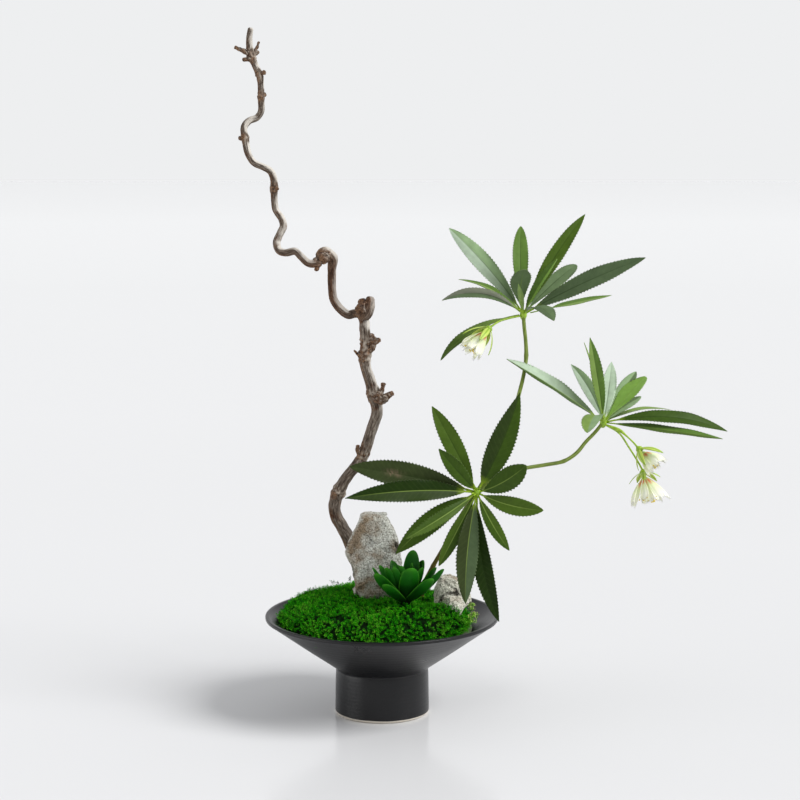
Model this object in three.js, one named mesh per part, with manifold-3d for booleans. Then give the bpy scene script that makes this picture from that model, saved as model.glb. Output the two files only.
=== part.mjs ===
// Ikebana arrangement: a footed black bowl packed with foam and moss, which holds a weathered
// twisted branch, a forked green spray with three whorls of toothed leaves and three small
// white blooms, a succulent rosette and two rough stones.
//
// Units are millimetres. The origin is the centre of the foot's underside, +Z is up,
// +X is to the viewer's right and the arrangement faces -Y.
import * as THREE from 'three';
import { mergeVertices } from 'three/addons/utils/BufferGeometryUtils.js';
import Module from 'manifold-3d';

const wasm = await Module();
wasm.setup();

// Driving dimensions.
const GAP = 0.3;
const BOWL = {
  rimRadius: 100, rimHeight: 85.6, footRadius: 40, footHeight: 40,
  wall: 4, wellRadius: 33.5, wellFloor: 6, segments: 36,
};
const FOAM_TOP = 74;
const MOSS = { centre: [-4, -1], radius: 86.5, edgeHeight: 84, rise: 22, segments: 30 };
const LEAF_THICKNESS = 0.7;
const PETAL_THICKNESS = 0.65;
const HUB_RADIUS = 4.2;
const SOLID_TOLERANCE = 0.01;

const COLOURS = {
  bowl: [0x2b2b2d, 0.55], foam: [0x4c5a3c, 0.95], moss: [0x2f8a12, 0.95],
  paleStone: [0xa39c90, 0.9], greyStone: [0x8d8982, 0.9], bark: [0x6f625a, 0.85],
  succulent: [0x16682a, 0.6], stem: [0x7c8a3a, 0.6], leaf: [0x35552a, 0.55],
  calyx: [0xa9bf3c, 0.6], petal: [0xf2efe6, 0.7],
};

const vector = (p) => new THREE.Vector3(p[0], p[1], p[2]);
const mix = (a, b, t) => a + (b - a) * t;

function seededRandom(seed) {
  let state = seed;
  return () => {
    state = (state * 1664525 + 1013904223) % 4294967296;
    return state / 4294967296;
  };
}

// A closed body from indexed corners.
function solid(corners, triangles) {
  const geometry = new THREE.BufferGeometry();
  const flat = corners.flatMap((p) => [p.x, p.y, p.z]);
  geometry.setAttribute('position', new THREE.Float32BufferAttribute(flat, 3));
  geometry.setIndex(triangles.flat());
  return geometry;
}

function toManifold(geometry) {
  const bare = geometry.clone();
  bare.deleteAttribute('normal');
  bare.deleteAttribute('uv');
  const merged = mergeVertices(bare, 1e-4);
  return new wasm.Manifold(new wasm.Mesh({
    numProp: 3,
    vertProperties: new Float32Array(merged.attributes.position.array),
    triVerts: new Uint32Array(merged.index.array),
  }));
}

function toGeometry(manifold) {
  const mesh = manifold.simplify(SOLID_TOLERANCE).getMesh();
  const geometry = new THREE.BufferGeometry();
  geometry.setAttribute('position', new THREE.BufferAttribute(mesh.vertProperties, 3));
  geometry.setIndex(new THREE.BufferAttribute(mesh.triVerts, 1));
  return geometry;
}

const join = (geometries) => geometries.map(toManifold).reduce((all, next) => all.add(next));
const cut = (body, tools) => tools.map(toManifold).reduce((rest, tool) => rest.subtract(tool), body);

// Rings of equal count, each anticlockwise when seen from the last ring, closed at both ends.
function loft(rings) {
  const count = rings[0].length;
  const corners = rings.flat();
  const triangles = [];
  for (let r = 0; r + 1 < rings.length; r += 1) {
    for (let k = 0; k < count; k += 1) {
      const a = r * count + k;
      const b = r * count + ((k + 1) % count);
      triangles.push([a, b, b + count], [a, b + count, a + count]);
    }
  }
  const closeEnd = (ring, start, forward) => {
    const middle = new THREE.Vector3();
    ring.forEach((p) => middle.addScaledVector(p, 1 / count));
    const centre = corners.push(middle) - 1;
    for (let k = 0; k < count; k += 1) {
      const a = start + k;
      const b = start + ((k + 1) % count);
      triangles.push(forward ? [a, b, centre] : [b, a, centre]);
    }
  };
  closeEnd(rings[0], 0, false);
  closeEnd(rings[rings.length - 1], (rings.length - 1) * count, true);
  return solid(corners, triangles);
}

// A round bar along a smooth route whose points are [x, y, z, radius].
function bar(points, { sides = 6, steps = 1, grow = 0, flute = 0 } = {}) {
  const curve = new THREE.CatmullRomCurve3(points.map(vector), false, 'centripetal');
  const spans = (points.length - 1) * steps;
  const rings = [];
  let side = null;
  for (let i = 0; i <= spans; i += 1) {
    const place = curve.getPoint(i / spans);
    const along = curve.getTangent(i / spans);
    side = side ?? new THREE.Vector3(1, 0, 0);
    side.addScaledVector(along, -side.dot(along)).normalize();
    const up = new THREE.Vector3().crossVectors(along, side);
    const at = Math.min(i / steps, points.length - 1);
    const lower = Math.floor(at);
    const upper = Math.min(lower + 1, points.length - 1);
    const radius = mix(points[lower][3], points[upper][3], at - lower) + grow;
    const past = (i === 0 ? -grow : 0) + (i === spans ? grow : 0);
    rings.push(Array.from({ length: sides }, (_, k) => {
      const turn = (k / sides) * Math.PI * 2;
      const reach = radius * (1 + flute * Math.cos(turn * 3 + i * 0.7));
      return place.clone().addScaledVector(along, past)
        .addScaledVector(side, Math.cos(turn) * reach)
        .addScaledVector(up, Math.sin(turn) * reach);
    }));
  }
  return loft(rings);
}

function ellipsoid(centre, radii, across = 10, down = 6) {
  const geometry = new THREE.SphereGeometry(1, across, down);
  geometry.scale(radii[0], radii[1], radii[2]);
  geometry.rotateX(Math.PI / 2);
  geometry.translate(centre[0], centre[1], centre[2]);
  return geometry;
}

// A thin blade from rows of [centre, half width, side, face]; both faces are split alike.
function bladeSolid(rows, thickness, fold) {
  const raise = Math.sin(fold);
  const spread = Math.cos(fold);
  const corners = [];
  rows.forEach(({ centre, half, side, face }) => {
    [-1, 0, 1].forEach((edge) => {
      [0.5, -0.5].forEach((layer) => {
        corners.push(centre.clone()
          .addScaledVector(side, edge * half * spread)
          .addScaledVector(face, Math.abs(edge) * half * raise + layer * thickness));
      });
    });
  });
  const corner = (row, column, layer) => row * 6 + column * 2 + layer;
  const triangles = [];
  for (let r = 0; r + 1 < rows.length; r += 1) {
    for (let c = 0; c < 2; c += 1) {
      const [a, b, d, e] = [[r, c], [r, c + 1], [r + 1, c], [r + 1, c + 1]];
      triangles.push([corner(...a, 0), corner(...b, 0), corner(...e, 0)]);
      triangles.push([corner(...a, 0), corner(...e, 0), corner(...d, 0)]);
      triangles.push([corner(...a, 1), corner(...e, 1), corner(...b, 1)]);
      triangles.push([corner(...a, 1), corner(...d, 1), corner(...e, 1)]);
    }
    triangles.push([corner(r, 0, 0), corner(r + 1, 0, 0), corner(r + 1, 0, 1)]);
    triangles.push([corner(r, 0, 0), corner(r + 1, 0, 1), corner(r, 0, 1)]);
    triangles.push([corner(r, 2, 0), corner(r + 1, 2, 1), corner(r + 1, 2, 0)]);
    triangles.push([corner(r, 2, 0), corner(r, 2, 1), corner(r + 1, 2, 1)]);
  }
  const last = rows.length - 1;
  for (let c = 0; c < 2; c += 1) {
    triangles.push([corner(0, c, 1), corner(0, c + 1, 1), corner(0, c + 1, 0)]);
    triangles.push([corner(0, c, 1), corner(0, c + 1, 0), corner(0, c, 0)]);
    triangles.push([corner(last, c, 1), corner(last, c + 1, 0), corner(last, c + 1, 1)]);
    triangles.push([corner(last, c, 1), corner(last, c, 0), corner(last, c + 1, 0)]);
  }
  return solid(corners, triangles);
}

// The arched centreline of a leaf or petal from its root to its tip, with its cross directions.
function arched(root, tip, face, arch, bend) {
  const chord = tip.clone().sub(root);
  const length = chord.length();
  const along = chord.clone().normalize();
  const flat = face.clone().addScaledVector(along, -face.dot(along)).normalize();
  const across = new THREE.Vector3().crossVectors(along, flat);
  return (u) => {
    const swell = 4 * u * (1 - u) * length;
    const slope = 4 * (1 - 2 * u) * length;
    const centre = root.clone().addScaledVector(chord, u)
      .addScaledVector(flat, arch * swell).addScaledVector(across, bend * swell);
    const tangent = chord.clone().addScaledVector(flat, arch * slope)
      .addScaledVector(across, bend * slope).normalize();
    const normal = face.clone().addScaledVector(tangent, -face.dot(tangent)).normalize();
    return { centre, face: normal, side: new THREE.Vector3().crossVectors(tangent, normal) };
  };
}

// Half width along a blade: 0 at both ends, 1 at the widest place.
function outline(v, widest, fullness) {
  const rise = fullness * widest;
  const fall = fullness * (1 - widest);
  return ((v / widest) ** rise) * (((1 - v) / (1 - widest)) ** fall);
}

// One leaf: a slim stalk, then a lance-shaped blade with saw teeth along both edges.
const LEAF = { stalk: 0.9, toothDepth: 0.11, tip: 0.4, fullness: 1.75 };

function leaf(hub, spec) {
  const { tip, width, face, arch = 0.03, bend = 0, fold = 8 } = spec;
  const { petiole = 0.09, widest = 0.5, teeth = 4 } = spec;
  const curve = arched(hub, vector(tip), vector(face), arch, bend);
  const rows = [{ ...curve(0.02), half: LEAF.stalk }, { ...curve(petiole), half: LEAF.stalk }];
  for (let k = 0; k < teeth; k += 1) {
    [[0.12, 1 - LEAF.toothDepth], [0.9, 1]].forEach(([step, reach]) => {
      const v = (k + step) / (teeth + 0.2);
      const half = (width / 2) * outline(v, widest, LEAF.fullness) * reach;
      rows.push({ ...curve(mix(petiole, 1, v)), half: Math.max(half, LEAF.stalk) });
    });
  }
  rows.push({ ...curve(1), half: LEAF.tip });
  return bladeSolid(rows, LEAF_THICKNESS, THREE.MathUtils.degToRad(fold));
}

// A petal or sepal: the same blade with plain edges and few rows.
function petal(root, tip, width, face, { arch = 0.06, fold = 12, widest = 0.55, steps = 3 } = {}) {
  const curve = arched(root, tip, face, arch, 0);
  const rows = [{ ...curve(0), half: 0.8 }];
  for (let k = 1; k <= steps; k += 1) {
    const v = k / (steps + 0.6);
    rows.push({ ...curve(v), half: Math.max((width / 2) * outline(v, widest, 1.5), 0.6) });
  }
  rows.push({ ...curve(1), half: 0.5 });
  return bladeSolid(rows, PETAL_THICKNESS, THREE.MathUtils.degToRad(fold));
}

// Bowl: turned in one piece, a straight-sided cone on a cylindrical foot with a closed base.
// The inside runs down into the foot as a well.
const CONE_BELLY = 1.1;
const coneSlope = (BOWL.rimRadius - BOWL.footRadius) / (BOWL.rimHeight - 1 - BOWL.footHeight);
const wallAcross = BOWL.wall * Math.hypot(1, coneSlope);
const innerRadius = (z) => BOWL.footRadius - wallAcross + coneSlope * (z - BOWL.footHeight);

function bowl() {
  const { rimRadius, rimHeight, footRadius, footHeight, wellRadius, wellFloor } = BOWL;
  const profile = [
    [0, 0], [footRadius - 1.2, 0], [footRadius + 0.4, 1.4], [footRadius - 0.2, footHeight - 4],
    [footRadius - 0.9, footHeight - 1.6], [footRadius + 0.8, footHeight + 0.8],
    [footRadius + coneSlope * 18 + CONE_BELLY, footHeight + 18], [rimRadius - 0.9, rimHeight - 2.6],
    [rimRadius, rimHeight - 1.3], [rimRadius - 0.9, rimHeight - 0.2], [rimRadius - 2.6, rimHeight],
    [rimRadius - 4.2, rimHeight - 0.8], [innerRadius(rimHeight - 4), rimHeight - 4],
    [innerRadius(60), 60], [wellRadius, footHeight + 0.4], [wellRadius, wellFloor + 3],
    [wellRadius - 3, wellFloor], [0, wellFloor],
  ];
  return new THREE.LatheGeometry(profile.map(([r, z]) => new THREE.Vector2(r, z)), BOWL.segments)
    .rotateX(Math.PI / 2);
}

// Foam: fills the well and the lower bowl and grips the branch and the stem.
const FOAM_CLEAR = 0.7;

function foam() {
  const shoulder = BOWL.footHeight + 0.4;
  const profile = [
    [0, BOWL.wellFloor + GAP], [BOWL.wellRadius - 3.4, BOWL.wellFloor + GAP],
    [BOWL.wellRadius - 0.6, BOWL.wellFloor + 3.6], [BOWL.wellRadius - 0.6, shoulder],
    [innerRadius(60) - FOAM_CLEAR, 60], [innerRadius(FOAM_TOP) - FOAM_CLEAR - 0.6, FOAM_TOP],
    [0, FOAM_TOP],
  ];
  return new THREE.LatheGeometry(profile.map(([r, z]) => new THREE.Vector2(r, z)), 32)
    .rotateX(Math.PI / 2);
}

// Moss: a mound of lumpy cushions that overhangs the foam up to the bowl's wall.
// Each hummock is [x, y, reach, height]; the sum of them is the relief.
const HUMMOCKS = [
  [-58, -38, 26, 3.2], [-30, -62, 24, 3.0], [6, -70, 26, 2.6], [40, -58, 22, 2.8],
  [66, -18, 20, 2.2], [60, 26, 24, 2.4], [24, 52, 28, 3.0], [-20, 60, 26, 2.6],
  [-62, 30, 26, 3.2], [-72, -6, 22, 2.6], [-34, -20, 22, 2.6], [-6, -42, 20, 1.8],
  [4, 26, 26, 2.2], [38, -24, 18, -2.2], [-44, 4, 20, 2.0], [64, -50, 16, 1.6],
];

function mossTop(x, y) {
  const [cx, cy] = MOSS.centre;
  const reach = Math.min(Math.hypot(x - cx, y - cy) / MOSS.radius, 1);
  const rightward = THREE.MathUtils.smoothstep(x, 0, 80);
  const dome = MOSS.rise * (1 - 0.28 * rightward) * Math.sqrt(1 - reach ** 2.5);
  const relief = HUMMOCKS.reduce((sum, [hx, hy, size, height]) => (
    sum + height * Math.exp(-((x - hx) ** 2 + (y - hy) ** 2) / (size * size * 0.5))), 0);
  return MOSS.edgeHeight + dome + (relief - 1.2) * (1 - reach ** 6);
}

function moss() {
  const [cx, cy] = MOSS.centre;
  const underside = FOAM_TOP + GAP;
  const ring = (radius, shift, height) => Array.from({ length: MOSS.segments }, (_, k) => {
    const turn = (k / MOSS.segments) * Math.PI * 2;
    const x = cx * shift + Math.cos(turn) * radius;
    const y = cy * shift + Math.sin(turn) * radius;
    return new THREE.Vector3(x, y, height ?? mossTop(x, y));
  });
  const rings = [
    ring(38, 0, underside), ring(innerRadius(underside) - 1.4, 0, underside),
    ring(innerRadius(78) - 1, 0, 78), ring(MOSS.radius - 0.6, 0.75, 82), ring(MOSS.radius, 1),
  ];
  [0.97, 0.91, 0.82, 0.7, 0.56, 0.42, 0.26].forEach((share) => {
    rings.push(ring(MOSS.radius * share, 1));
  });
  return loft(rings);
}

// Standing stone: a tall rough slab. Each level is [z, left x, right x, front y, back y].
const STANDING_LEVELS = [
  [95, -24, 10, -18, 6], [103, -27, 12.5, -22, 8], [108, -29, 14, -23, 9], [116, -24.4, 15.5, -22, 9.5],
  [124, -24.6, 17, -23, 9], [132, -28, 17.6, -24, 9], [140, -31.4, 17.2, -23, 8.5],
  [149, -29.4, 15.2, -22, 8], [158, -25.4, 11.6, -20, 7], [167, -20.6, 7.2, -17, 5],
  [173, -17.4, 4.4, -14, 3], [175.6, -12.5, 1.6, -10, 0],
];
const LOW_LEVELS = [
  [94, 46, 70, -24, -3], [100, 43, 76.6, -27, -2], [106, 43, 76, -26, -2], [112, 44.6, 72.4, -24, -3],
  [117, 46.6, 68.6, -21, -4], [121, 49.4, 64, -18, -6], [122.6, 52, 60, -15, -8],
];
const LUMP_LEVELS = [
  [91, 55, 67, -32, -20], [95, 51.6, 70.6, -36, -18], [99, 50.6, 71.4, -36.5, -18],
  [103, 52.6, 69.6, -35, -18], [106.4, 56, 66, -31, -20],
];

function stone(levels, seed, roughness, grow = 0, sides = 14) {
  const random = seededRandom(seed);
  const square = (value) => Math.sign(value) * Math.abs(value) ** 0.8;
  const rings = levels.map(([z, left, right, front, back], row) => {
    const lift = (row === 0 ? -grow : 0) + (row === levels.length - 1 ? grow : 0);
    return Array.from({ length: sides }, (_, k) => {
      const turn = ((k + 0.5 * (row % 2)) / sides) * Math.PI * 2;
      const chip = roughness * (random() - 0.7) + grow * 1.15;
      const level = z + lift + roughness * 0.7 * (random() - 0.5);
      const across = square(Math.cos(turn));
      const deep = square(Math.sin(turn));
      return new THREE.Vector3(
        (left + right) / 2 + across * ((right - left) / 2 + chip),
        (front + back) / 2 + deep * ((back - front) / 2 + chip),
        level,
      );
    });
  });
  return loft(rings);
}

const standingStone = (grow) => stone(STANDING_LEVELS, 11, 1.6, grow);
const lowStone = (grow) => [stone(LOW_LEVELS, 23, 1.8, grow, 12), stone(LUMP_LEVELS, 37, 1.4, grow, 10)];

// Twisted branch: one weathered stem whose route and girth are [x, y, z, radius].
const BRANCH = [
  [-14, 20, 54, 5.2], [-16, 20, 92, 5.6], [-21, 20, 114, 5.7], [-25.5, 19, 132, 6],
  [-30, 18, 147, 5.9], [-34.6, 17, 158, 5.5], [-39, 16, 166, 5.3], [-41, 15, 174, 5.2],
  [-40, 15, 182, 5.1], [-33, 13, 198, 4.9], [-24, 12, 210, 4.8], [-17, 10, 220, 4.8],
  [-14, 8, 228, 4.8], [-9, 6, 244, 4.7], [-4, 4, 260, 4.8], [-5, 3, 268, 4.9],
  [-7, 2, 275, 5], [-9, 1, 284, 4.7], [-14, -3, 303, 4.5], [-13, -5, 318, 4.6],
  [-14, -7, 330, 4.4], [-11, -8, 342, 4.6], [-8.4, -4, 352, 4.6], [-14, 2, 356.5, 4.2],
  [-20.5, 6, 350.5, 3.8], [-22.5, 7, 344, 3.7], [-28, 6, 341.5, 3.7], [-34, 7, 346, 3.6],
  [-40, 8, 354, 3.5], [-42, 8, 364, 3.4], [-42, 6, 380, 3.7], [-41.4, 3, 391, 4.6],
  [-47.6, 0, 394, 5], [-52, -3, 388.6, 4], [-57, -6, 386, 3.3], [-62, -7, 387, 3.2],
  [-67, -8, 392, 3.1], [-72, -7, 396.5, 3.1], [-80, -4, 395, 3.1], [-86, -1, 397, 3.1],
  [-88, 2, 403, 3.1], [-85, 5, 411, 3.1], [-82.5, 7, 417, 3.1], [-84, 8, 423, 3],
  [-89, 8, 431, 2.9], [-90, 5, 445, 2.9], [-90, 2, 457, 3], [-93, 0, 463, 2.9],
  [-98, -3, 466, 2.8], [-106, -5, 470, 2.8], [-110.5, -6, 477, 2.8], [-113, -4, 489, 2.9],
  [-114, -1, 499, 2.9], [-110, 3, 504.5, 2.8], [-104, 6, 507, 2.7], [-100.5, 6, 512, 2.7],
  [-100, 3, 523, 2.8], [-100, 0, 535, 2.7], [-101, -3, 542, 2.9], [-105, -2, 551, 2.8],
  [-108, -1, 559, 3.1], [-109, 1, 571, 2.6], [-108, 2, 579.4, 2.4],
];
// Broken twigs and knots on it: [x, y, z, radius] at the root and at the end.
const STUBS = [
  [[-107.5, -1, 558, 2.4], [-114, -3, 561.5, 1.9], [-120.6, -4, 564, 1.4]],
  [[-106.5, -2, 555, 2.2], [-113.6, -6, 554, 1.7]],
  [[-107.5, 0, 558, 2.2], [-102.4, 5, 560.6, 1.7]],
  [[-107.5, 1, 560, 1.6], [-103.4, 5, 564, 1.3], [-101.6, 6, 569, 1]],
  [[-101, -3, 542, 2.3], [-96.2, -5, 544, 1.7]],
  [[-100, 2, 525, 2.4], [-96.6, 3, 526, 1.9]],
  [[-113, -4, 490, 2.2], [-117.6, -2, 490, 1.9]],
  [[-90, 4, 448, 2.2], [-86.8, 2, 448, 1.7]],
  [[-53, -3, 387, 3], [-54.4, -7, 381, 1.9]],
  [[-12, -7, 343, 3.2], [-16.6, -11, 347.5, 3.4]],
  [[-13.5, -4, 312, 2.4], [-22.6, -9, 313, 1.2]],
  [[-13, -5, 319, 3.4], [-5, -8, 320.6, 3], [0.4, -8, 322, 2]],
  [[-13, -4, 314, 3], [-5.4, -8, 312.6, 2.4]],
  [[-7, 2, 276, 4], [0.8, -5, 271.6, 3.9], [8, -5, 276.6, 2]],
  [[-2, -4, 273.6, 3.2], [1.2, -3, 284, 1.8]],
  [[-14.4, 8, 227.6, 2.6], [-21.6, 4, 229, 1.6]],
  [[-36.6, 14, 189, 4], [-41, 9, 188.4, 3.2]],
];

const branchBar = (grow) => bar(BRANCH, { sides: 6, grow, flute: 0.05 });

function twistedBranch() {
  const stubs = STUBS.map((stub) => bar(stub, { sides: 5 }));
  return toGeometry(join([branchBar(0), ...stubs]));
}

// Spray: one woody green stem that leans towards the viewer and forks behind the front whorl.
const FRONT_HUB = new THREE.Vector3(79, -50, 200);
const UPPER_HUB = new THREE.Vector3(119.2, 0, 343);
const RIGHT_HUB = new THREE.Vector3(187.8, 0, 251.2);
const MAIN_STEM = [
  [33, 9, 50, 1.9], [33.6, 9, 90, 1.9], [36, 8, 109, 1.9], [44, 5, 126.5, 1.85], [53.8, -3, 146, 1.8],
  [64.2, -22, 170.6, 1.75], [72.7, -39, 189, 1.7], [77.4, -47.4, 197.4, 1.6],
];
const UPPER_STEM = [
  [70, -34, 183, 1.5], [78, -41.4, 197, 1.6], [86.6, -40.6, 212, 1.65], [95.8, -38, 231.8, 1.65],
  [107.6, -31, 257.6, 1.65], [115, -24, 280.2, 1.65], [119.4, -18, 298, 1.6], [121.1, -12, 309.5, 1.7],
  [120.8, -7, 322, 1.6], [119.7, -2.4, 334, 1.6], [119.3, -0.4, 341.6, 1.6],
];
const RIGHT_STEM = [
  [70, -34, 183, 1.5], [78, -41.6, 196.4, 1.6], [86, -42.6, 205, 1.6], [96, -41.6, 211, 1.6],
  [108.4, -38, 216.4, 1.6], [121, -34, 218, 1.6], [137.3, -28, 219.6, 1.6], [152.8, -22, 221.7, 1.6],
  [163.8, -16, 227.6, 1.6], [172.1, -9, 235.9, 1.55], [180.4, -4, 243.4, 1.5], [186, -0.9, 249.6, 1.5],
];
const stemBars = (grow) => [MAIN_STEM, UPPER_STEM, RIGHT_STEM].map((route) => bar(route, { grow }));

// Leaf whorls. Every leaf grows from its hub; tip and face are the tip's place and the way the
// blade's upper side looks, arch and bend are shares of the length.
const FRONT_FACE = [-0.06, -0.97, 0.24];
const FRONT_LEAVES = [
  { tip: [42, -30, 269], width: 16.5, face: FRONT_FACE, bend: 0.01, widest: 0.52, teeth: 5 },
  { tip: [47, -64, 238.5], width: 13.5, face: FRONT_FACE, bend: -0.01 },
  { tip: [-26, -56, 222.5], width: 22.5, face: FRONT_FACE, bend: 0.02, widest: 0.53, teeth: 5 },
  { tip: [-29, -80, 198.5], width: 18.6, face: FRONT_FACE, bend: 0.028, widest: 0.52, teeth: 5 },
  { tip: [12, -60, 150.5], width: 18.5, face: FRONT_FACE, bend: 0.04, teeth: 5 },
  { tip: [20, -86, 168.5], width: 11, face: FRONT_FACE, bend: -0.02, widest: 0.52 },
  { tip: [49.5, -60, 143.5], width: 12, face: FRONT_FACE, widest: 0.55 },
  { tip: [69, -74, 112], width: 18.6, face: FRONT_FACE, bend: 0.03, widest: 0.52, teeth: 5 },
  { tip: [97.5, -54, 92], width: 16.5, face: FRONT_FACE, bend: 0.052, widest: 0.52, teeth: 5 },
  { tip: [104, -82, 158], width: 11, face: FRONT_FACE, bend: 0.03, widest: 0.55 },
  { tip: [132, -74, 189.5], width: 15.5, face: FRONT_FACE, bend: 0.055, widest: 0.56 },
  { tip: [118, -70, 226], width: 19.5, face: FRONT_FACE, bend: 0.06, widest: 0.6 },
  { tip: [114, -46, 282.5], width: 22, face: FRONT_FACE, bend: 0.032, widest: 0.43, teeth: 5 },
];
const UPPER_LEAVES = [
  { tip: [56, -20, 416], width: 16.5, face: [-0.2, -0.9, 0.3], bend: 0.03, fold: -18, widest: 0.56 },
  { tip: [120, 55, 415], width: 14, face: [0, -0.8, 0.6], bend: -0.015, widest: 0.6 },
  { tip: [173, 30, 426], width: 14, face: [-0.2, -0.9, 0.3], bend: -0.02, widest: 0.53, teeth: 5 },
  { tip: [218, -25, 392], width: 17, face: [-0.1, -0.9, 0.45], bend: -0.014, widest: 0.52, teeth: 5 },
  { tip: [198, 45, 356], width: 12, face: [-0.1, -0.3, 1], arch: 0.005, petiole: 0.32, widest: 0.45 },
  { tip: [168, 50, 382], width: 15, face: [-0.2, -0.75, 0.6], bend: -0.01, widest: 0.6 },
  { tip: [145, -25, 391], width: 12, face: [-0.7, -0.5, 0.4], fold: 30 },
  { tip: [116, -46, 384.5], width: 22, face: [0, 0.7, 0.7], arch: 0.05, widest: 0.6 },
  { tip: [140, -62, 343], width: 16, face: [0.1, -0.3, 1], arch: 0.14, widest: 0.6 },
  { tip: [51, 12, 354], width: 15, face: [0.1, -0.55, 0.85], arch: 0.2, widest: 0.55 },
  { tip: [66, 40, 370], width: 10, face: [0.3, -0.4, 0.9], arch: 0.09 },
  { tip: [113, -51, 371.5], width: 4.4, face: [0, 0.5, 0.85], widest: 0.45, teeth: 3 },
  { tip: [50, 12, 303], width: 12, face: [0.2, -0.5, 0.8], arch: 0.13, fold: 20, petiole: 0.16 },
];
const RIGHT_LEAVES = [
  { tip: [104, -25, 308], width: 18, face: [0.3, -0.6, 0.75], arch: 0.022, fold: 24, teeth: 5 },
  { tip: [162, 25, 298], width: 11.5, face: [-0.3, -0.85, 0.4], bend: 0.06 },
  { tip: [176, 5, 323], width: 11, face: [0.1, -0.97, 0.1], bend: 0.01 },
  { tip: [174, 35, 316], width: 5, face: [0.8, -0.4, 0.3] },
  { tip: [199, 45, 298], width: 15, face: [-0.1, -0.75, 0.65], bend: 0.015, widest: 0.6 },
  { tip: [221, 50, 289], width: 12, face: [-0.2, -0.75, 0.6], widest: 0.6 },
  { tip: [217, -38, 295], width: 17, face: [-0.3, 0.72, 0.62], bend: -0.03, widest: 0.6 },
  { tip: [221, 12, 272], width: 11, face: [-0.3, -0.5, 0.8], widest: 0.6 },
  { tip: [250, 38, 257], width: 9, face: [-0.1, -0.15, 1], arch: 0.078 },
  { tip: [295, 12, 242], width: 16, face: [0.1, -0.6, 0.8], arch: 0.11, widest: 0.52, teeth: 5 },
  { tip: [287, -12, 239], width: 13.5, face: [0.1, -0.36, 0.95], arch: 0.012, teeth: 5 },
  { tip: [169, -52, 250], width: 17, face: [-0.2, -0.35, 0.95], arch: 0.18, widest: 0.62 },
];

// Blooms hang on thin stalks from the hubs: [x, y, z, radius] along the stalk, then the way the
// bloom opens and how wide its petals and sepals spread from that line, in degrees.
const BLOOMS = [
  {
    name: 'upper_bloom', hub: 'upper',
    stalk: [[116.4, -1.9, 342, 0.8], [107, -9, 340.6, 0.8], [98, -15, 338.4, 0.8], [90.4, -19.4, 334, 0.9]],
    open: [-0.72, -0.36, -0.6], length: 24, spread: 20, sepalLength: 27, sepalSpread: 46, phase: 0.4,
  },
  {
    name: 'right_upper_bloom', hub: 'right',
    stalk: [[188.9, -1.9, 249.8, 0.9], [200.8, -9, 245.6, 1.5], [206, -12, 241.6, 0.8],
      [212, -14.4, 236, 0.8], [215.4, -15.8, 232, 0.9]],
    open: [0.55, -0.26, -0.79], length: 19, spread: 20, sepalLength: 21, sepalSpread: 46, phase: 0.75,
  },
  {
    name: 'right_lower_bloom', hub: 'right',
    stalk: [[189.2, 1.2, 249.4, 0.8], [201, -1.6, 242.4, 0.8], [209, -4.4, 231, 0.8],
      [216.6, -5.6, 219, 0.8], [221, -6, 211, 0.9]],
    open: [0.16, -0.26, -0.95], length: 26, spread: 36, sepalLength: 17, sepalSpread: 66, phase: 0.6,
  },
];
const RECEPTACLE = { radius: 3, length: 3 };
// Rings of blades around a bloom's line: where each blade starts along it and out from it.
const SEPAL = {
  count: 5, depth: 1.6, out: 2, width: 5.4, twist: 0, shape: { arch: -0.1, widest: 0.42 },
};
const OUTER_PETAL = {
  count: 5, depth: 5.2, out: 0.9, width: 9.2, twist: 0.5, shape: { arch: -0.07, widest: 0.68 },
};
const INNER_PETAL = {
  count: 3, depth: 5.6, out: 0.6, width: 4.6, twist: 0.5, shape: { arch: -0.03, widest: 0.6 },
};
const CORE_RADIUS = 2.2;

function bloomParts({ stalk, open, length, spread, sepalLength, sepalSpread, phase }) {
  const axis = vector(open).normalize();
  const base = vector(stalk[stalk.length - 1]);
  const away = new THREE.Vector3(0, 0, 1).addScaledVector(axis, -axis.z).normalize();
  const aside = new THREE.Vector3().crossVectors(axis, away);
  const radial = (turn) => (
    away.clone().multiplyScalar(Math.cos(turn)).addScaledVector(aside, Math.sin(turn)));
  const at = (depth, reach = 0, turn = 0) => (
    base.clone().addScaledVector(axis, depth).addScaledVector(radial(turn), reach));
  const ringOf = ({ count, depth, out, width, twist, shape }, offset, angle, sizeOf) => (
    Array.from({ length: count }, (_, k) => {
      const turn = (k / count + offset) * Math.PI * 2;
      const lean = THREE.MathUtils.degToRad(angle);
      const tip = at(depth + sizeOf(k) * Math.cos(lean), out + sizeOf(k) * Math.sin(lean), turn);
      return petal(at(depth, out, turn), tip, width, radial(turn + twist).negate(), shape);
    }));
  const cup = bar([[...at(-1).toArray(), 1.2], [...at(0.6).toArray(), RECEPTACLE.radius],
    [...at(RECEPTACLE.length).toArray(), RECEPTACLE.radius + 0.4]]);
  const core = ellipsoid(at(RECEPTACLE.length + GAP + CORE_RADIUS + 0.1).toArray(),
    [CORE_RADIUS, CORE_RADIUS, CORE_RADIUS], 8, 6);
  const sepals = ringOf(SEPAL, phase / SEPAL.count, sepalSpread, (k) => sepalLength * (1 - 0.12 * (k % 3)));
  const outer = ringOf(OUTER_PETAL, 0, spread, (k) => length * (1 - 0.06 * (k % 2)));
  const inner = ringOf(INNER_PETAL, 0.1, spread * 0.3, () => length * 0.72);
  return { calyx: [bar(stalk, { sides: 5 }), cup, ...sepals], petals: [core, ...outer, ...inner] };
}

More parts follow.
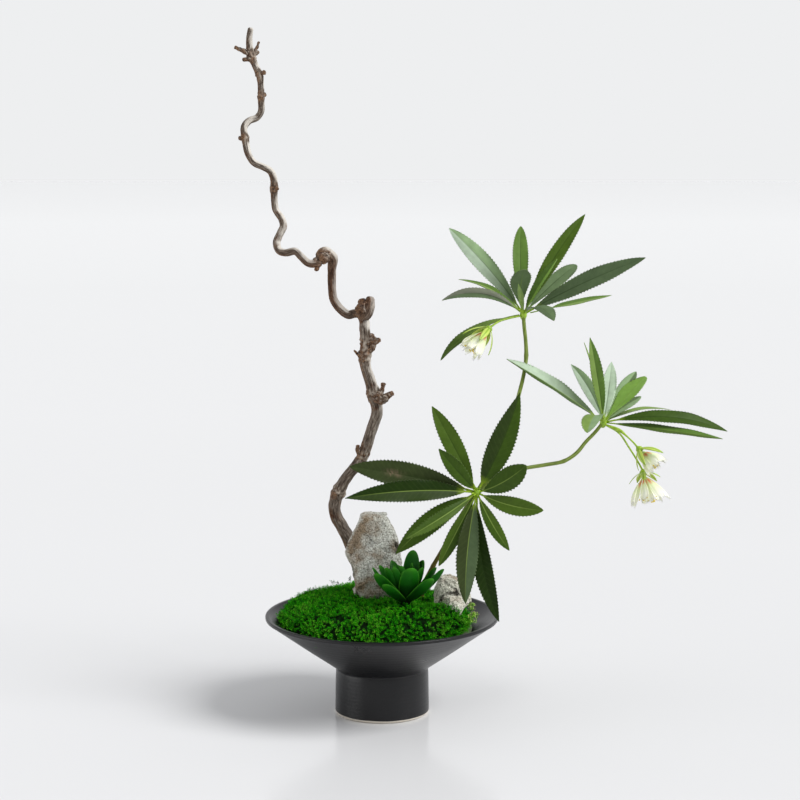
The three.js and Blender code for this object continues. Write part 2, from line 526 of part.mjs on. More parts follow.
function whorl(hub, leaves, key) {
  const body = join([ellipsoid(hub.toArray(), [HUB_RADIUS, HUB_RADIUS, HUB_RADIUS]),
    ...leaves.map((spec) => leaf(hub, spec))]);
  const stalks = BLOOMS.filter((bloom) => bloom.hub === key)
    .map((bloom) => bar(bloom.stalk, { sides: 5, grow: GAP }));
  return toGeometry(cut(body, [...stemBars(GAP), ...stalks]));
}

// Succulent: a rosette of thick spoon-shaped leaves: [azimuth, elevation, length, width].
const ROSETTE_BASE = new THREE.Vector3(20, -46, 106);
const ROSETTE_CORE = [[20, -46, 98, 3.4], [20, -46, 105, 6.5], [20, -46, 112, 6], [20, -46, 118, 3.5]];
const ROSETTE = [
  [189, 46, 37.4, 13], [160, 53, 38.8, 12], [172, 44, 41, 8], [233, 38, 35, 13], [290, 65, 35.7, 16],
  [314, 40, 40, 13.5], [349, 44, 44.5, 11], [72, 65, 45, 14.5], [50, 57, 38, 14], [22, 47, 39, 14],
  [194, 62, 36, 9], [213, 72, 34.7, 9], [126, 62, 37, 12], [211, 83, 33, 8], [9, 67, 33, 9],
  [95, 36, 33, 13],
];
const FLESH = { thickness: 3, sides: 6, rows: 5, cup: 0.16 };

function fleshyLeaf([azimuth, elevation, length, width], grow = 0) {
  const turn = THREE.MathUtils.degToRad(azimuth);
  const lift = THREE.MathUtils.degToRad(elevation);
  const outward = new THREE.Vector3(Math.cos(turn), Math.sin(turn), 0);
  const along = outward.clone().multiplyScalar(Math.cos(lift));
  along.z = Math.sin(lift);
  const face = outward.clone().multiplyScalar(-Math.sin(lift));
  face.z = Math.cos(lift);
  const root = ROSETTE_BASE.clone().addScaledVector(along, 3 - grow);
  const tip = ROSETTE_BASE.clone().addScaledVector(along, length + grow);
  const curve = arched(root, tip, face, -FLESH.cup * 0.5, 0);
  const rings = Array.from({ length: FLESH.rows + 1 }, (_, row) => {
    const v = row / FLESH.rows;
    const { centre, side, face: up } = curve(v);
    const half = Math.max((width / 2) * outline(mix(0.08, 0.985, v), 0.66, 1.5), 0.5) + grow;
    const deep = Math.max((FLESH.thickness / 2) * outline(mix(0.2, 0.97, v), 0.4, 0.9), 0.35) + grow;
    return Array.from({ length: FLESH.sides }, (_, k) => {
      const angle = (k / FLESH.sides) * Math.PI * 2;
      return centre.clone().addScaledVector(side, Math.cos(angle) * half)
        .addScaledVector(up, Math.sin(angle) * deep + Math.cos(angle) ** 2 * half * FLESH.cup);
    });
  });
  return loft(rings.map((ring) => ring.reverse()));
}

const rosetteCore = (grow) => bar(ROSETTE_CORE, { sides: 8, grow });
const succulent = () => toGeometry(join([rosetteCore(0), ...ROSETTE.map((spec) => fleshyLeaf(spec))]));

// Assembly: the moss and the foam have plain holes and pockets for what stands in them.
const group = new THREE.Group();

function place(name, geometry, [colour, roughness]) {
  const finish = new THREE.MeshStandardMaterial({ color: colour, roughness, metalness: 0 });
  const mesh = new THREE.Mesh(geometry, finish);
  mesh.name = name;
  group.add(mesh);
}

const planted = [branchBar(GAP), bar(MAIN_STEM, { grow: GAP })];
const bedded = [...planted, standingStone(GAP), ...lowStone(GAP), rosetteCore(GAP),
  ...ROSETTE.map((spec) => fleshyLeaf(spec, GAP))];

place('bowl', toGeometry(toManifold(bowl())), COLOURS.bowl);
place('foam', toGeometry(cut(toManifold(foam()), planted)), COLOURS.foam);
place('moss', toGeometry(cut(toManifold(moss()), bedded)), COLOURS.moss);
place('standing_stone', standingStone(0), COLOURS.paleStone);
place('low_stone', toGeometry(join(lowStone(0))), COLOURS.greyStone);
place('twisted_branch', twistedBranch(), COLOURS.bark);
place('succulent', succulent(), COLOURS.succulent);
place('spray_stem', toGeometry(join(stemBars(0))), COLOURS.stem);
place('front_leaves', whorl(FRONT_HUB, FRONT_LEAVES, 'front'), COLOURS.leaf);
place('upper_leaves', whorl(UPPER_HUB, UPPER_LEAVES, 'upper'), COLOURS.leaf);
place('right_leaves', whorl(RIGHT_HUB, RIGHT_LEAVES, 'right'), COLOURS.leaf);
BLOOMS.forEach((bloom) => {
  const { calyx, petals } = bloomParts(bloom);
  place(`${bloom.name}_calyx`, toGeometry(join(calyx)), COLOURS.calyx);
  place(`${bloom.name}_petals`, toGeometry(join(petals)), COLOURS.petal);
});

export default group;
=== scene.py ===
import random
from math import copysign, cos, exp, hypot, pi, radians, sin, sqrt

import bpy
import numpy as np
from mathutils import Euler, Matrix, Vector, noise


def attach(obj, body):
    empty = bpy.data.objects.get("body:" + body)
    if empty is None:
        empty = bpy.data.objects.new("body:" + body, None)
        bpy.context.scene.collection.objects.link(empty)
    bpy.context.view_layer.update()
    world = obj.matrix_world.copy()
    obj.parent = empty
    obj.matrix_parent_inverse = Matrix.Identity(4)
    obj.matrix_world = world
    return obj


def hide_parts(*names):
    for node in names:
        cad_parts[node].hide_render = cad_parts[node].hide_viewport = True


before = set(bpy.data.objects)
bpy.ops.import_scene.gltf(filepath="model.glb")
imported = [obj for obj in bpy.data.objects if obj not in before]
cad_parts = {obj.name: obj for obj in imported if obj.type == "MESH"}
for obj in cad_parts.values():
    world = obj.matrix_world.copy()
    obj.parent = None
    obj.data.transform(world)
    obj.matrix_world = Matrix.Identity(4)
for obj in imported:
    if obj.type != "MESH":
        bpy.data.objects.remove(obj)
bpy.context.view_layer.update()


# Camera: a portrait lens about 1.6 m in front of the bowl, a little above its middle and
# tipped down slightly, as the photograph was taken.
def placed(name, data):
    """A new object in the scene."""
    made = bpy.data.objects.new(name, data)
    bpy.context.collection.objects.link(made)
    return made


camera_data = bpy.data.cameras.new("portrait_lens")
camera_data.lens = 85
camera_data.sensor_width = 36
camera_data.clip_start = 0.05
camera = placed("portrait_camera", camera_data)
camera.location = (0.01542, -1.5856, 0.4722)
TIPPED_DOWN = 7.25
camera.rotation_euler = (radians(90 - TIPPED_DOWN), 0, 0)
bpy.context.scene.camera = camera
bpy.context.scene.view_settings.view_transform = "Standard"


# Bowl: a stoneware bowl thrown on the wheel in one piece, a straight-sided cone on a drum foot,
# dipped in a matt black glaze that stops short of the foot's bottom edge.
def linear(code):
    """An sRGB hex colour as linear red, green, blue and alpha."""
    parts = [int(code[k:k + 2], 16) / 255 for k in (1, 3, 5)]
    return [p / 12.92 if p <= 0.04045 else ((p + 0.055) / 1.055) ** 2.4 for p in parts] + [1.0]


def feed(node, *values, **sockets):
    """Sets sockets, in order or by name, to values, colours, or what a node or another socket gives."""
    rows = list(zip([socket for socket in node.inputs if socket.enabled], values))
    rows += [(node.inputs[name.replace("_", " ")], value) for name, value in sockets.items()]
    for socket, value in rows:
        if isinstance(value, bpy.types.Node):
            value = next(given for given in value.outputs if given.enabled)
        if isinstance(value, bpy.types.NodeSocket):
            node.id_data.links.new(value, socket)
        else:
            socket.default_value = linear(value) if str(value)[0] == "#" else value


def add(tree, kind, *values, stops=(), **named):
    """A node of a kind, with its operation, blend or attribute after a space, and its colour stops.

    The values feed its sockets in order; a capital name is a socket and a small one a setting."""
    kind, _, mode = kind.partition(" ")
    node = tree.nodes.new(kind if "Node" in kind else "ShaderNode" + kind)
    if kind == "Mix":
        node.data_type = "RGBA"
    if mode:
        setattr(node, {"Mix": "blend_type", "Attribute": "attribute_name"}.get(kind, "operation"), mode)
    for name in [name for name in named if name.islower()]:
        setattr(node, name, named.pop(name))
    for k, (place, code) in enumerate(stops):
        row = node.color_ramp.elements
        stop = row[k] if k < 2 else row.new(place)
        stop.position = place
        stop.color = linear(code)
    feed(node, *values, **named)
    return node


def finish_named(name, **sockets):
    """A new material with its main shader's sockets set; returns it, its tree and its shader."""
    finish = bpy.data.materials.new(name)
    finish.use_nodes = True
    shader = finish.node_tree.nodes["Principled BSDF"]
    for socket, value in sockets.items():
        shader.inputs[socket.replace("_", " ")].default_value = value
    return finish, finish.node_tree, shader


def shell(name, points, faces, finish, smooth=True, **marks):
    """A mesh object from points in millimetres; marks are values kept on each point."""
    mesh = bpy.data.meshes.new(name)
    mesh.from_pydata((np.asarray(points, float) / 1000).tolist(), [], [list(f) for f in faces])
    for key, values in marks.items():
        values = np.asarray(values, float)
        width = 1 if values.ndim == 1 else values.shape[1]
        kind, field = {1: ("FLOAT", "value"), 3: ("FLOAT_VECTOR", "vector"),
                       4: ("FLOAT_COLOR", "color")}[width]
        mesh.attributes.new(key, kind, "POINT").data.foreach_set(field, values.ravel())
    mesh.materials.append(finish)
    if smooth:
        mesh.shade_smooth()
    return placed(name, mesh)


def gathered(parts):
    """Several bars or blades as one: points, faces and each mark, one after another."""
    points, faces, marks = [], [], [[] for _ in parts[0][2:]]
    for part in parts:
        start = len(points)
        points += list(part[0])
        faces += [tuple(v + start for v in face) for face in part[1]]
        for row, values in zip(marks, part[2:]):
            row += list(values)
    return points, faces, *marks


def belongs(made, node):
    """The piece rides on the body and stands for a solid, whose part it hides."""
    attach(made, "root")
    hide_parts(node)
    return made


def piece(name, finish, node, parts, marks="", smooth=True):
    """Parts [points, faces, marks] as one piece that stands for a solid; its marks are kept by name."""
    points, faces, *values = gathered(parts)
    return belongs(shell(name, points, faces, finish, smooth, **dict(zip(marks.split(), values))), node)


def softened(corners):
    """A turning profile whose corners [radius, height, rounding] are rounded."""
    line = []
    for k, (r, z, rounding) in enumerate(corners):
        here = np.array([r, z])
        if rounding == 0 or k in (0, len(corners) - 1):
            line.append(here)
            continue
        before = np.array(corners[k - 1][:2]) - here
        after = np.array(corners[k + 1][:2]) - here
        start = here + before / np.linalg.norm(before) * rounding
        end = here + after / np.linalg.norm(after) * rounding
        for t in np.linspace(0, 1, 7):
            line.append((1 - t) ** 2 * start + 2 * t * (1 - t) * here + t * t * end)
    return np.array(line)


def turned(line, segments):
    """Points and faces of a profile turned about the upright axis, closed at both poles."""
    turn = np.arange(segments) / segments * 2 * np.pi
    inner = line[1:-1]
    points = [[0, 0, line[0][1]]]
    for r, z in inner:
        points += np.stack([r * np.cos(turn), r * np.sin(turn), np.full(segments, z)], 1).tolist()
    points.append([0, 0, line[-1][1]])
    faces = []
    last = len(points) - 1
    for k in range(segments):
        nxt = (k + 1) % segments
        faces.append((0, 1 + nxt, 1 + k))
        for row in range(len(inner) - 1):
            a, b = 1 + row * segments + k, 1 + row * segments + nxt
            faces.append((a, b, b + segments, a + segments))
        end = 1 + (len(inner) - 1) * segments
        faces.append((end + k, end + nxt, last))
    return points, faces


RIM, RIM_HEIGHT, FOOT, FOOT_HEIGHT = 100, 85.6, 40, 40
SLOPE = (RIM - FOOT) / (RIM_HEIGHT - 1 - FOOT_HEIGHT)
WALL_ACROSS = 4 * hypot(1, SLOPE)


def inside_radius(z):
    """How wide the bowl is inside at a height."""
    return FOOT - WALL_ACROSS + SLOPE * (z - FOOT_HEIGHT)


bowl_line = softened([
    [0, 0, 0], [38.8, 0, 0.6], [40.4, 1.4, 0.8], [40.0, 30, 4], [39.7, 37.2, 1.5], [39.2, 38.9, 0.6],
    [41.2, 41.0, 1.0], [FOOT + SLOPE * 18 + 1.1, 58, 14], [98.6, 82.2, 0.8], [99.9, 82.9, 0.4],
    [100, 85.0, 0.5], [99.2, 85.6, 0.4], [97.0, 85.5, 0.7], [95.7, 84.6, 0.8], [inside_radius(80), 80, 3],
    [inside_radius(60), 60, 3], [33.5, 40.4, 3], [33.5, 9, 2], [30.5, 6, 1], [0, 6, 0]])
glaze, tree, shader = finish_named("matt_black_stoneware_glaze", Roughness=0.36, IOR=1.5,
                                   Specular_IOR_Level=0.4)
# A satin black with faint rings left by the thrower's fingers and a fine pinhole grain.
place = add(tree, "TexCoord").outputs["Object"]
grain = add(tree, "TexNoise", place, 900, 3)
cloud = add(tree, "TexNoise", place, 28, 4)
body = add(tree, "ValToRGB", cloud, stops=[(0.3, "#08080a"), (0.7, "#0e0f12")])
height = add(tree, "SeparateXYZ", place).outputs["Z"]
wander = add(tree, "Math MULTIPLY_ADD", cloud, 0.0012, height)
bare = add(tree, "MapRange", wander, 0.0031, 0.0027, 0.0, 1.0)
biscuit = add(tree, "Mix", bare, body, "#d2cabd")
sheen = add(tree, "MapRange", cloud, 0.3, 0.7, 0.27, 0.36)
rings = add(tree, "TexWave", place, 95, 1.2, 2.0, 0.6, bands_direction="Z").outputs["Fac"]
ringed = add(tree, "Bump", Height=rings, Strength=0.25, Distance=0.00012)
combed = add(tree, "TexWave", place, 360, 2.5, 2.0, bands_direction="Z").outputs["Fac"]
turning = add(tree, "Bump", Height=combed, Strength=0.5, Distance=0.00008, Normal=ringed)
pitted = add(tree, "Bump", Height=grain, Strength=0.3, Distance=0.00015, Normal=turning)
feed(shader, Base_Color=biscuit, Roughness=sheen, Normal=pitted)
ROUND_SEGMENTS = 192
piece("thrown_bowl", glaze, "bowl", [turned(bowl_line, ROUND_SEGMENTS)])


# Foam: a cut block of soaked phenolic foam pressed into the bowl under the moss. The solid stays
# as it is, and its dull green is a mass of pores about half a millimetre wide.
foam_skin, tree, shader = finish_named("phenolic_flower_foam", Roughness=0.95)
place = add(tree, "TexCoord").outputs["Object"]
pores = add(tree, "TexVoronoi", place, 1800)
tint = add(tree, "ValToRGB", pores, stops=[(0.1, "#2f3b26"), (0.7, "#5c6b49")])
dimples = add(tree, "Bump", Height=pores, Strength=0.6, Distance=0.0003)
feed(shader, Base_Color=tint, Normal=dimples)
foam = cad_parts["foam"]
foam.data.materials.clear()
foam.data.materials.append(foam_skin)


# Moss: cushions of living feather moss laid over the foam and tucked against the stones.
# A lumpy bed carries thousands of small feathered shoots, which give the fine bright tips.
MOSS_CENTRE, MOSS_RADIUS, MOSS_EDGE, MOSS_RISE = (-4, -1), 86.5, 84, 22
HUMMOCKS = [
    [-58, -38, 26, 3.2], [-30, -62, 24, 3.0], [6, -70, 26, 2.6], [40, -58, 22, 2.8],
    [66, -18, 20, 2.2], [60, 26, 24, 2.4], [24, 52, 28, 3.0], [-20, 60, 26, 2.6],
    [-62, 30, 26, 3.2], [-72, -6, 22, 2.6], [-34, -20, 22, 2.6], [-6, -42, 20, 1.8],
    [4, 26, 26, 2.2], [38, -24, 18, -2.2], [-44, 4, 20, 2.0], [64, -50, 16, 1.6]]
# Collars of moss are pushed up round the foot of the rosette and of the low stone.
HUMMOCKS += [[20, -51, 30, 7.8], [59, -40, 22, 7.4], [45, -32, 15, 4.6], [66, -37, 15, 10]]


def moss_top(x, y):
    """Height of the moss mound over a place, the same relief as the solid's."""
    reach = min(hypot(x - MOSS_CENTRE[0], y - MOSS_CENTRE[1]) / MOSS_RADIUS, 1)
    share = min(max(x / 80, 0), 1)
    rightward = share * share * (3 - 2 * share)
    dome = MOSS_RISE * (1 - 0.28 * rightward) * sqrt(1 - reach ** 2.5)
    relief = sum(h * exp(-((x - a) ** 2 + (y - b) ** 2) / (size * size * 0.5))
                 for a, b, size, h in HUMMOCKS)
    return MOSS_EDGE + dome + (relief - 1.2) * (1 - reach ** 6)


BED_CENTRE, BED_RADIUS, CUSHION = (-6.5, -1.5), 80.5, 5.2


def moss_bed():
    """The lumpy bed: points, faces and how thickly shoots grow at each point."""
    segments, share_steps = 300, np.linspace(0, 1, 100)[1:]
    turn = np.arange(segments) / segments * 2 * np.pi
    ragged = [1 + 0.03 * noise.noise(Vector((cos(t) * 4, sin(t) * 4, 4))) for t in turn]
    points = [[*BED_CENTRE, moss_top(*BED_CENTRE) - 4]]
    growth = [1.0]
    for share in share_steps:
        for t, wide in zip(turn, ragged):
            x = BED_CENTRE[0] + cos(t) * BED_RADIUS * wide * share
            y = BED_CENTRE[1] + sin(t) * BED_RADIUS * wide * share
            near, far = noise.voronoi(Vector((x / CUSHION, y / CUSHION, 2)))[0][:2]
            fine = noise.fractal(Vector((x / 3, y / 3, 0)), 0.8, 2, 3)
            drop = 3.2 + 3.2 * near ** 1.5 - 0.9 * fine + 5 * share ** 14
            points.append([x, y, moss_top(x, y) - drop])
            growth.append(min(1.0, max(0.0, 5 * (far - near) - 0.2 + 0.5 * fine)))
    skirt = [(82, 0, 1.0), (79.5, 0.6, 0.8), (77.5, 2, 0.2), (76, 6, 0)]
    for z, inset, kept in skirt:
        for t, wide in zip(turn, ragged):
            x = BED_CENTRE[0] + cos(t) * (BED_RADIUS * wide - inset)
            y = BED_CENTRE[1] + sin(t) * (BED_RADIUS * wide - inset)
            pulled = min(1, (inside_radius(z) - 0.8) / hypot(x, y))
            points.append([x * pulled, y * pulled, z])
            growth.append(kept)
    rows = len(share_steps) + len(skirt)
    faces = [(0, 1 + k, 1 + (k + 1) % segments) for k in range(segments)]
    for row in range(rows - 1):
        for k in range(segments):
            a, b = 1 + row * segments + k, 1 + row * segments + (k + 1) % segments
            faces.append((a, a + segments, b + segments, b))
    floor_centre = len(points)
    points.append([0, 0, 76])
    growth.append(0)
    end = 1 + (rows - 1) * segments
    faces += [(end + k, floor_centre, end + (k + 1) % segments) for k in range(segments)]
    return points, faces, growth


bed_shade_finish, tree, shader = finish_named("moss_bed", Roughness=0.95, Specular_IOR_Level=0.1)
# Near-black and dark green: painted shade in the gaps between the shoots, where the bed shows.
place = add(tree, "TexCoord").outputs["Object"]
patches = add(tree, "TexNoise", place, 260, 5)
tint = add(tree, "ValToRGB", patches, stops=[(0.35, "#020a01"), (0.72, "#0f2505"), (0.55, "#052002")])
lumps = add(tree, "Bump", Height=patches, Strength=0.8, Distance=0.001)
feed(shader, Base_Color=tint, Normal=lumps)
bed = piece("moss_bed", bed_shade_finish, "moss", [moss_bed()], "growth")

shoot_finish, tree, shader = finish_named("feather_moss_shoots", Roughness=0.7, Specular_IOR_Level=0.05)
# Each shoot darkens to nearly black at its root, painted shade deep in the mat, and is bright at its tips;
# neighbours differ a little.
up = add(tree, "Attribute tip").outputs["Fac"]
own = add(tree, "Attribute own").outputs["Fac"]
place = add(tree, "TexCoord").outputs["Object"]
drift = add(tree, "TexNoise", place, 45, 3)
mixed = add(tree, "Math MULTIPLY_ADD", own, 0.6, drift)
TIP_GREENS = [(0.38, "#0f7402"), (0.86, "#66fa1a"), (0.55, "#2bc405"), (0.7, "#48f00e"), (1.0, "#8dfb3c")]
tips = add(tree, "ValToRGB", mixed, stops=TIP_GREENS)
shaded_roots = add(tree, "ValToRGB", mixed, stops=[(0.4, "#021201"), (0.9, "#0a3d02")])
sharp = add(tree, "Math POWER", up, 1.8)
colour = add(tree, "Mix", sharp, shaded_roots, tips)
feed(shader, Base_Color=colour)


GOLDEN_TURN = 2.4  # radians from each leaflet to the next round a stalk


def sprig(tall, lean, leaflets, reach):
    """Points and faces of one shoot, a bent stalk with narrow leaflets and a star at its top, and how far up
    each point lies, which sets how dark its painted shade is.
    """
    points, faces, tip = [], [], []
    for k in range(leaflets):
        share = 0.2 + 0.8 * k / (leaflets - 1)
        root = np.array([lean * share ** 2, 0, tall * share * 0.85])
        turn = k * GOLDEN_TURN
        length = reach * (1.2 - 0.4 * share)
        out = np.array([cos(turn), sin(turn), 0])
        wide = np.array([-sin(turn), cos(turn), 0]) * reach * 0.24
        middle = root + out * length * 0.55 + [0, 0, length * 0.35]
        end = root + out * length * 0.95 + [0, 0, length * (0.4 + 0.5 * share)]
        start = len(points)
        points += [root, middle + wide, end, middle - wide]
        faces.append((start, start + 1, start + 2, start + 3))
        tip += [share * 0.25, 0.15 + share * 0.5, 0.4 + share * 0.6, 0.15 + share * 0.5]
    return points, faces, tip


# Geometry Nodes: spreads one kind of shoot over the bed where it grows.
meadow = bpy.data.node_groups.new("moss_growth", "GeometryNodeTree")
for label, kind in [("Bed", "Geometry"), ("Shoot", "Object"), ("Spacing", "Float"), ("Crowding", "Float"),
                    ("Smallest", "Float"), ("Largest", "Float"), ("Tilt", "Float"), ("Seed", "Int"),
                    ("Finish", "Material")]:
    meadow.interface.new_socket(label, in_out="INPUT", socket_type="NodeSocket" + kind)
meadow.interface.new_socket("Shoots", in_out="OUTPUT", socket_type="NodeSocketGeometry")
given = add(meadow, "NodeGroupInput").outputs
thick = add(meadow, "GeometryNodeInputNamedAttribute", Name="growth", data_type="FLOAT")
spread = add(meadow, "GeometryNodeDistributePointsOnFaces", Mesh=given["Bed"], Distance_Min=given["Spacing"],
             Density_Max=given["Crowding"], Density_Factor=thick, Seed=given["Seed"],
             distribute_method="POISSON")
less = add(meadow, "Math MULTIPLY", given["Tilt"], -1.0)
low = add(meadow, "CombineXYZ", less, less, -3.14)
high = add(meadow, "CombineXYZ", given["Tilt"], given["Tilt"], 3.14)
wobble = add(meadow, "FunctionNodeRandomValue", low, high, Seed=3, data_type="FLOAT_VECTOR")
turned_by = add(meadow, "FunctionNodeEulerToRotation", wobble)
stance = add(meadow, "FunctionNodeRotateRotation", spread.outputs["Rotation"], turned_by,
             rotation_space="LOCAL")
girth = add(meadow, "FunctionNodeRandomValue", given["Smallest"], given["Largest"], Seed=7)
source = add(meadow, "GeometryNodeObjectInfo", Object=given["Shoot"]).outputs["Geometry"]
stood = add(meadow, "GeometryNodeInstanceOnPoints", Points=spread.outputs["Points"], Instance=source,
            Rotation=stance, Scale=girth)
chance = add(meadow, "FunctionNodeRandomValue", Seed=11)
kept = add(meadow, "GeometryNodeStoreNamedAttribute", Geometry=stood, Name="own", Value=chance,
           data_type="FLOAT", domain="INSTANCE")
real = add(meadow, "GeometryNodeRealizeInstances", kept)
dressed = add(meadow, "GeometryNodeSetMaterial", Geometry=real, Material=given["Finish"])
add(meadow, "NodeGroupOutput", Shoots=dressed)


def made_plain(name, helper):
    """The mesh that a helper's modifiers make, as an object without any; the helper goes."""
    graph = bpy.context.evaluated_depsgraph_get()
    mesh = bpy.data.meshes.new_from_object(helper.evaluated_get(graph))
    helper.modifiers.clear()
    bpy.data.objects.remove(helper)
    mesh.name = name
    return placed(name, mesh)


def grown(name, ground, group, **values):
    """What a node group makes on a ground mesh, with its named inputs set."""
    helper = placed(name + "_helper", ground.data)
    growth_step = helper.modifiers.new("growth", "NODES")
    growth_step.node_group = group
    for item in group.interface.items_tree:
        if item.in_out == "INPUT" and item.name in values:
            growth_step[item.identifier] = values[item.name]
    return made_plain(name, helper)


CROWDING = 900000.0  # shoots to a square metre, before the spacing thins them out
MOSS_LAYERS = [
    # name, height, lean, leaflets, leaflet reach, spacing mm, smallest, largest, tilt, seed
    ["moss_low_shoots", 2.4, 0.6, 7, 1.5, 1.4, 0.75, 1.15, 0.8, 5],
    ["moss_mid_shoots", 3.6, 1.0, 9, 1.35, 1.65, 0.7, 1.2, 0.6, 17],
    ["moss_tall_shoots", 4.7, 1.4, 10, 1.25, 2.3, 0.7, 1.25, 0.5, 29]]
for name, tall, lean, leaflets, reach, spacing, smallest, largest, tilt, seed in MOSS_LAYERS:
    points, faces, tip = sprig(tall, lean, leaflets, reach)
    pattern = shell(name + "_pattern", points, faces, shoot_finish, smooth=False, tip=tip)
    layer = grown(name, bed, meadow, Shoot=pattern, Spacing=spacing / 1000, Crowding=CROWDING,
                  Smallest=smallest, Largest=largest, Tilt=tilt, Seed=seed, Finish=shoot_finish)
    bpy.data.objects.remove(pattern)
    belongs(layer, "moss")


# Loose ends: a half-dried yellow tuft against the bowl on the right, and stray dark sprigs behind.
LOOSE_TILT = 0.9


def loose(name, spots, count, spread, size, finish, seed):
    """Shoots stood one by one about each spot, leaning every way."""
    draw = random.Random(seed)
    parts = []
    for spot in spots:
        for _ in range(count):
            points, faces, tip = sprig(size * draw.uniform(0.8, 1.3), size * 0.3, 9, size * 0.42)
            tilts = [draw.uniform(-LOOSE_TILT, LOOSE_TILT), draw.uniform(-LOOSE_TILT, LOOSE_TILT)]
            stance = Euler((*tilts, draw.uniform(0, 6.28))).to_matrix()
            base = np.array(spot) + [draw.uniform(-spread, spread) for _ in range(3)]
            parts.append(([base + np.array(stance @ Vector(p)) for p in points], faces, tip))
    piece(name, finish, "moss", parts, "tip", smooth=False)


dry_finish, tree, shader = finish_named("half_dried_moss", Roughness=0.75, Specular_IOR_Level=0.12)
up = add(tree, "Attribute tip").outputs["Fac"]
# Nearly black at the root, painted shade, through yellow-green to pale yellow at the tips.
tint = add(tree, "ValToRGB", up, stops=[(0.1, "#0d2405"), (0.85, "#f6fc9c"), (0.45, "#7ec52c")])
feed(shader, Base_Color=tint)
DRY_TUFT = [[74.5, -19, 92], [75.5, -26, 89], [78, -22, 86.5], [76, -31, 85], [79.5, -17, 88],
            [73, -14, 95], [75, -9, 94]]
loose("moss_dry_tuft", DRY_TUFT, 6, 1.6, 3.9, dry_finish, 6)
STRAY_SPRIGS = [[-43, 20, 106.5], [-39, 20, 107.5], [-29, 20, 110]]
loose("moss_stray_sprigs", STRAY_SPRIGS, 2, 1.2, 3.8, shoot_finish, 12)


# Stones: two pieces of weathered granite set in pockets of the moss, a tall pale slab stood on
# end and a low broken lump, both rough as they were found.
def granite(name, pale, mid, dark, stain):
    """Coarse-grained rock: crystals about a millimetre across, brown weathering, dark hollows."""
    finish, tree, shader = finish_named(name, Roughness=0.9, IOR=1.5, Specular_IOR_Level=0.25)
    place = add(tree, "TexCoord").outputs["Object"]
    fine = add(tree, "TexNoise", place, 850, 4, 0.7)
    base = add(tree, "ValToRGB", fine, stops=[(0.38, dark), (0.6, pale), (0.47, mid)])
    broad = add(tree, "TexNoise", place, 110, 6)
    stained = add(tree, "Attribute stain").outputs["Fac"]
    browned = add(tree, "Math MULTIPLY_ADD", broad, 2.2, stained)
    weathered = add(tree, "MapRange", browned, 1.15, 1.85)
    rusty = add(tree, "Mix MULTIPLY", weathered, base, stain)
    worn = add(tree, "Attribute worn").outputs["Fac"]
    deep = add(tree, "MapRange", worn, -0.45, -1.7, 0, 0.8)
    hollow = add(tree, "Mix", deep, rusty, "#2e271f")
    rough = add(tree, "Bump", Height=fine, Strength=0.9, Distance=0.0008)
    feed(shader, Base_Color=hollow, Normal=rough)
    return finish


def to_stroke(at, stroke):
    """How far a point lies from a line of places, seen from the front."""
    x, z = at.x, at.z
    best = 99.0
    for (xa, za), (xb, zb) in zip(stroke, stroke[1:]):
        run = (xb - xa) ** 2 + (zb - za) ** 2
        share = min(1, max(0, ((x - xa) * (xb - xa) + (z - za) * (zb - za)) / run))
        best = min(best, hypot(x - xa - share * (xb - xa), z - za - share * (zb - za)))
    return best


DEEPEST_CUT, SEAM_WIDTH = 5.0, 0.16


def hewn(name, node, voxel, facets, chips, cracks, stains, finish, seed, roll):
    """A fine copy of a stone's solid, split along facets, cracked and broken up by chips.

    A facet is [outward direction, a place on it, its lowest and highest place], a chip [size, depth,
    tilt, seam], a crack [line of places, width, depth] and a stain [place, reach, strength]."""
    helper = placed(name + "_helper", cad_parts[node].data.copy())
    weld = helper.modifiers.new("weld", "WELD")
    weld.merge_threshold = 0.00001
    remesh = helper.modifiers.new("remesh", "REMESH")
    remesh.mode = "VOXEL"
    remesh.voxel_size = voxel / 1000
    relax = helper.modifiers.new("relax", "SMOOTH")
    relax.factor = 0.5
    relax.iterations = 3
    made = made_plain(name, helper)
    mesh = made.data
    mesh.materials.clear()
    mesh.materials.append(finish)
    shift = Vector((seed, seed * 0.7, 3))
    noise.seed_set(roll)  # how the chips lean, the same in each run
    worn, stained = [], []
    for vertex in mesh.vertices:
        at = vertex.co * 1000
        for direction, spot, lowest, highest in facets:
            out = Vector(direction).normalized()
            excess = out.dot(at - Vector(spot))
            if excess > 0 and lowest < at.z < highest:
                at -= out * min(excess, DEEPEST_CUT) * 0.88
        move = 0
        for size, depth, tilt, seam in chips:
            spot = at / size + shift
            edge, cells = noise.voronoi(spot)
            slope = noise.noise_vector(cells[0] * 3.7).dot(spot - cells[0])
            split = max(0.0, SEAM_WIDTH - (edge[1] - edge[0]))
            move += depth * (0.5 * noise.noise(spot * 1.3) + tilt * slope - seam * split)
        if vertex.normal.y < 0.2:
            for stroke, wide, depth in cracks:
                move -= depth * exp(-(to_stroke(at, stroke) / wide) ** 2)
        vertex.co = (at + vertex.normal * move) / 1000
        worn.append(move)
        stained.append(sum(much * exp(-((at - Vector(spot)).length / reach) ** 2)
                           for spot, reach, much in stains))
    mesh.attributes.new("worn", "FLOAT", "POINT").data.foreach_set("value", worn)
    mesh.attributes.new("stain", "FLOAT", "POINT").data.foreach_set("value", stained)
    mesh.shade_smooth()
    belongs(made, node)


